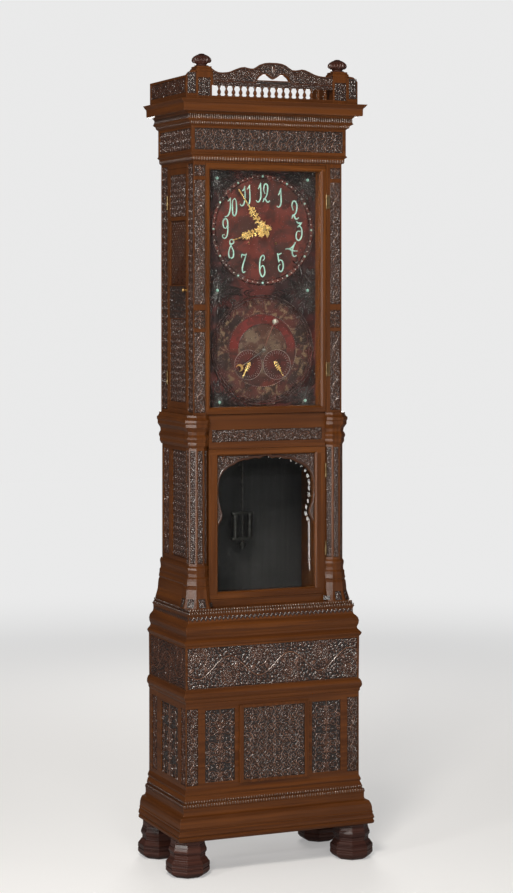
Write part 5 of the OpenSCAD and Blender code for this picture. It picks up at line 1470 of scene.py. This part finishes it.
for label, strokes in figures.items():
    shapes = joined([shape for points in strokes for shape in stroke(points)])
    make_piece(f"numeral_{label}", *shapes, turquoise, slot="painted_dial", sharp=60)
print("numerals", len(figures))

# %% [markdown]
# ### Hands
# The gilt hands are cast acanthus: a boss with curled leaves, a leafy stem and a long thin point. They
# are carved on a grid like the wood, and only the leaves themselves are kept.

# %% Hands
def cast_hand(name, length, leafy, angle, depth, top, eye, body, node):
    """A hand carved on a grid, with a hole of radius eye round the centre at (half, y0)."""
    half, y0 = 40.0, 40.0
    c = Carving(2 * half, length + y0, 0.6)
    c.stem([(half, y0 - 24), (half, y0 + leafy)], 3.2, 2.2, top)
    c.stem([(half, y0 + leafy), (half, y0 + length - 1)], 2.3, 0.9, top * 0.8)
    c.berry(half, y0, 9.5, top)
    for k, (turn, far, r) in enumerate(((-0.2, 17, 8.5), (0.9, 15, 6.5), (-1.3, 19, 8), (2.3, 15, 7),
                                        (-2.4, 18, 8), (3.4, 14, 6))):
        e = 1 if k % 2 else -1
        x, y = half + far * math.cos(turn), y0 + far * math.sin(turn)
        c.curl(x, y, r, turn + 0.5 * e, 1.2, e, 2.0, top, 4, 0.4)
        c.leaf(half + 7 * math.cos(turn), y0 + 7 * math.sin(turn), turn + 0.3 * e, far + 7, 7, 0.25 * e, top)
    for e in (-1, 1):
        for k in range(4):
            y = y0 + 16 + k * (leafy - 24) / 4 + 3 * e
            length_here = 14 + 2 * ((k + (e > 0)) % 2)
            c.leaf(half, y, math.pi / 2 - e * (0.7 + 0.1 * k), length_here, 7.5, -0.4 * e, top)
            c.berry(half + 8 * e, y + 9, 2.6, top)
        start = math.pi * (0.5 - 0.5 * e)
        c.curl(half + 6.5 * e, y0 + leafy - 9 + 3 * e, 5.6, start, 1.2, -e, 1.9, top, 4, 0.42)
        c.leaf(half, y0 + leafy - 8, math.pi / 2 - e * 0.5, 13, 6, -0.3 * e, top)
    c.leaf(half, y0 + leafy - 12, math.pi / 2, 24, 7, 0.0, top)
    X, V = np.meshgrid(c.u - half, c.v - y0)
    c.mask = (c.z > 0.3 * top) & (np.hypot(X, V) > eye)
    a = math.radians(angle)
    across, along = np.array((math.cos(a), 0, -math.sin(a))), np.array((math.sin(a), 0, math.cos(a)))
    corner = at(0, depth, dial_z) - (half * across + y0 * along) * mm
    o = carved_patch(name, c, corner, across, along, (0, -1, 0), gilt, body, "gilt_brass", sunk=0.5,
                     full=top)
    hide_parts(node)
    return o


def cast_pointer(side, tag):
    """A small leafy pointer laid over the turning disc of one calendar."""
    c = Carving(24, 58, 0.6)
    c.stem([(12, 5), (12, 40)], 1.8, 1.6, 1.5)
    c.stem([(12, 36), (12, 57)], 1.6, 0.6, 1.2)
    c.berry(12, 6, 4.6, 1.5)
    for e in (-1, 1):
        for k in range(4):
            c.leaf(12, 7 + 7 * k, math.pi / 2 - e * 0.85, 9.5, 5, -0.3 * e, 1.5)
    c.mask = c.z > 0.45
    (x0, z0), (x1, z1) = ((-47, -41), (-71, -88)) if side < 0 else ((43, -39), (74, -85))
    along = np.array((x1 - x0, 0, z1 - z0)) / math.hypot(x1 - x0, z1 - z0)
    across = np.array((-along[2], 0, along[0])) * -1
    corner = at(x0, dial_d + 2.1, lower_z + z0) - (12 * across + 5 * along) * mm
    return carved_patch(f"cast_pointer_{tag}", c, corner, across, along, (0, -1, 0), gilt,
                        f"calendar_{tag}", "gilt_brass", sunk=0.2, full=1.5)


cast_hand("cast_hour_hand", 112, 78, -108.5, 246.4, 2.6, 4.3, "hour_pipe", "hour_hand")
cast_hand("cast_minute_hand", 157, 84, -34.1, 250.3, 2.2, 2.9, "centre_arbor", "minute_hand")
for side, tag in both_sides:
    cast_pointer(side, tag)
print("hands and pointers", 4)

# %% [markdown]
# ## Lattice of the side windows and small brasses
# A fine diagonal lattice stands before each pierced screen, and each side door has a small turned knob.

# %% Side lattices and knobs
def bar_between(p, q, r=1.5, sides=6):
    axis = (q - p) / np.linalg.norm(q - p)
    u = np.cross(axis, (0.3, 1, 0.2))
    u /= np.linalg.norm(u)
    w = np.cross(axis, u)
    turns = 2 * math.pi * np.arange(sides) / sides
    ring = [r * mm * (math.cos(a) * u + math.sin(a) * w) for a in turns]
    return [p + o for o in ring] + [q + o for o in ring], tube_faces(sides, 2)


def side_lattice(side, tag, x=256.0, step=17.6):
    """Slanting bars both ways over the window, with a bead where two of them cross."""
    d0, d1, z0, z1 = 82.0, 223.0, 1881.0, 2092.0
    parts = []
    for sense in (-1, 1):
        for k in range(-24, 40):
            a = d0 + k * step
            b = a + sense * (z1 - z0)
            t0, t1 = ((min(max(end, d0), d1) - a) / (b - a) for end in (a, b))
            if t0 < t1 and (t1 - t0) * math.dist((a, z0), (b, z1)) >= 6:
                ends = [at(side * x, a + (b - a) * t, z0 + (z1 - z0) * t) for t in (t0, t1)]
                parts.append(bar_between(*ends))
    half = step / 2
    crossings = [(d0 + (i - j) * half, z0 + (i + j) * half) for i in range(40) for j in range(40)]
    crossings = [at(side * x, d, z) for d, z in crossings if d0 + 4 < d < d1 - 4 and z0 + 4 < z < z1 - 4]
    verts, faces = joined(parts + [repeat(ball(3.1), crossings)])
    o = make_piece(f"window_lattice_{tag}", verts, faces, side_carving, f"side_door_{tag}", "carved_wood")
    return level_of(o, np.full(len(verts), 2.2))


knob = [(6, 0, 0), (6, 1.5, 0), (3, 3, 0), (3, 6, 0), (5.5, 8, 0), (7, 11, 0), (6.2, 14, 0), (3.5, 16, 0),
        (0.5, 16.6, 0)]
for side, tag in both_sides:
    side_lattice(side, tag)
    v, f = lobed(knob, 8, 24)
    outwards = v[:, [2, 1, 0]] * (side, 1, 1), f if side < 0 else [g[::-1] for g in f]
    make_piece(f"side_knob_{tag}", *repeat(outwards, [at(side * 262, 229, 1865)]), brass, f"side_door_{tag}",
               "brass", sharp=60)
print("pieces", len(made), "faces", sum(len(o.data.polygons) for o in made))

# %% [markdown]
# ## Done
# The sizes are kept so that they can be compared with the joinery: no ornament reaches outside the case.

# %% Close the lesson
print("pieces", len(made))
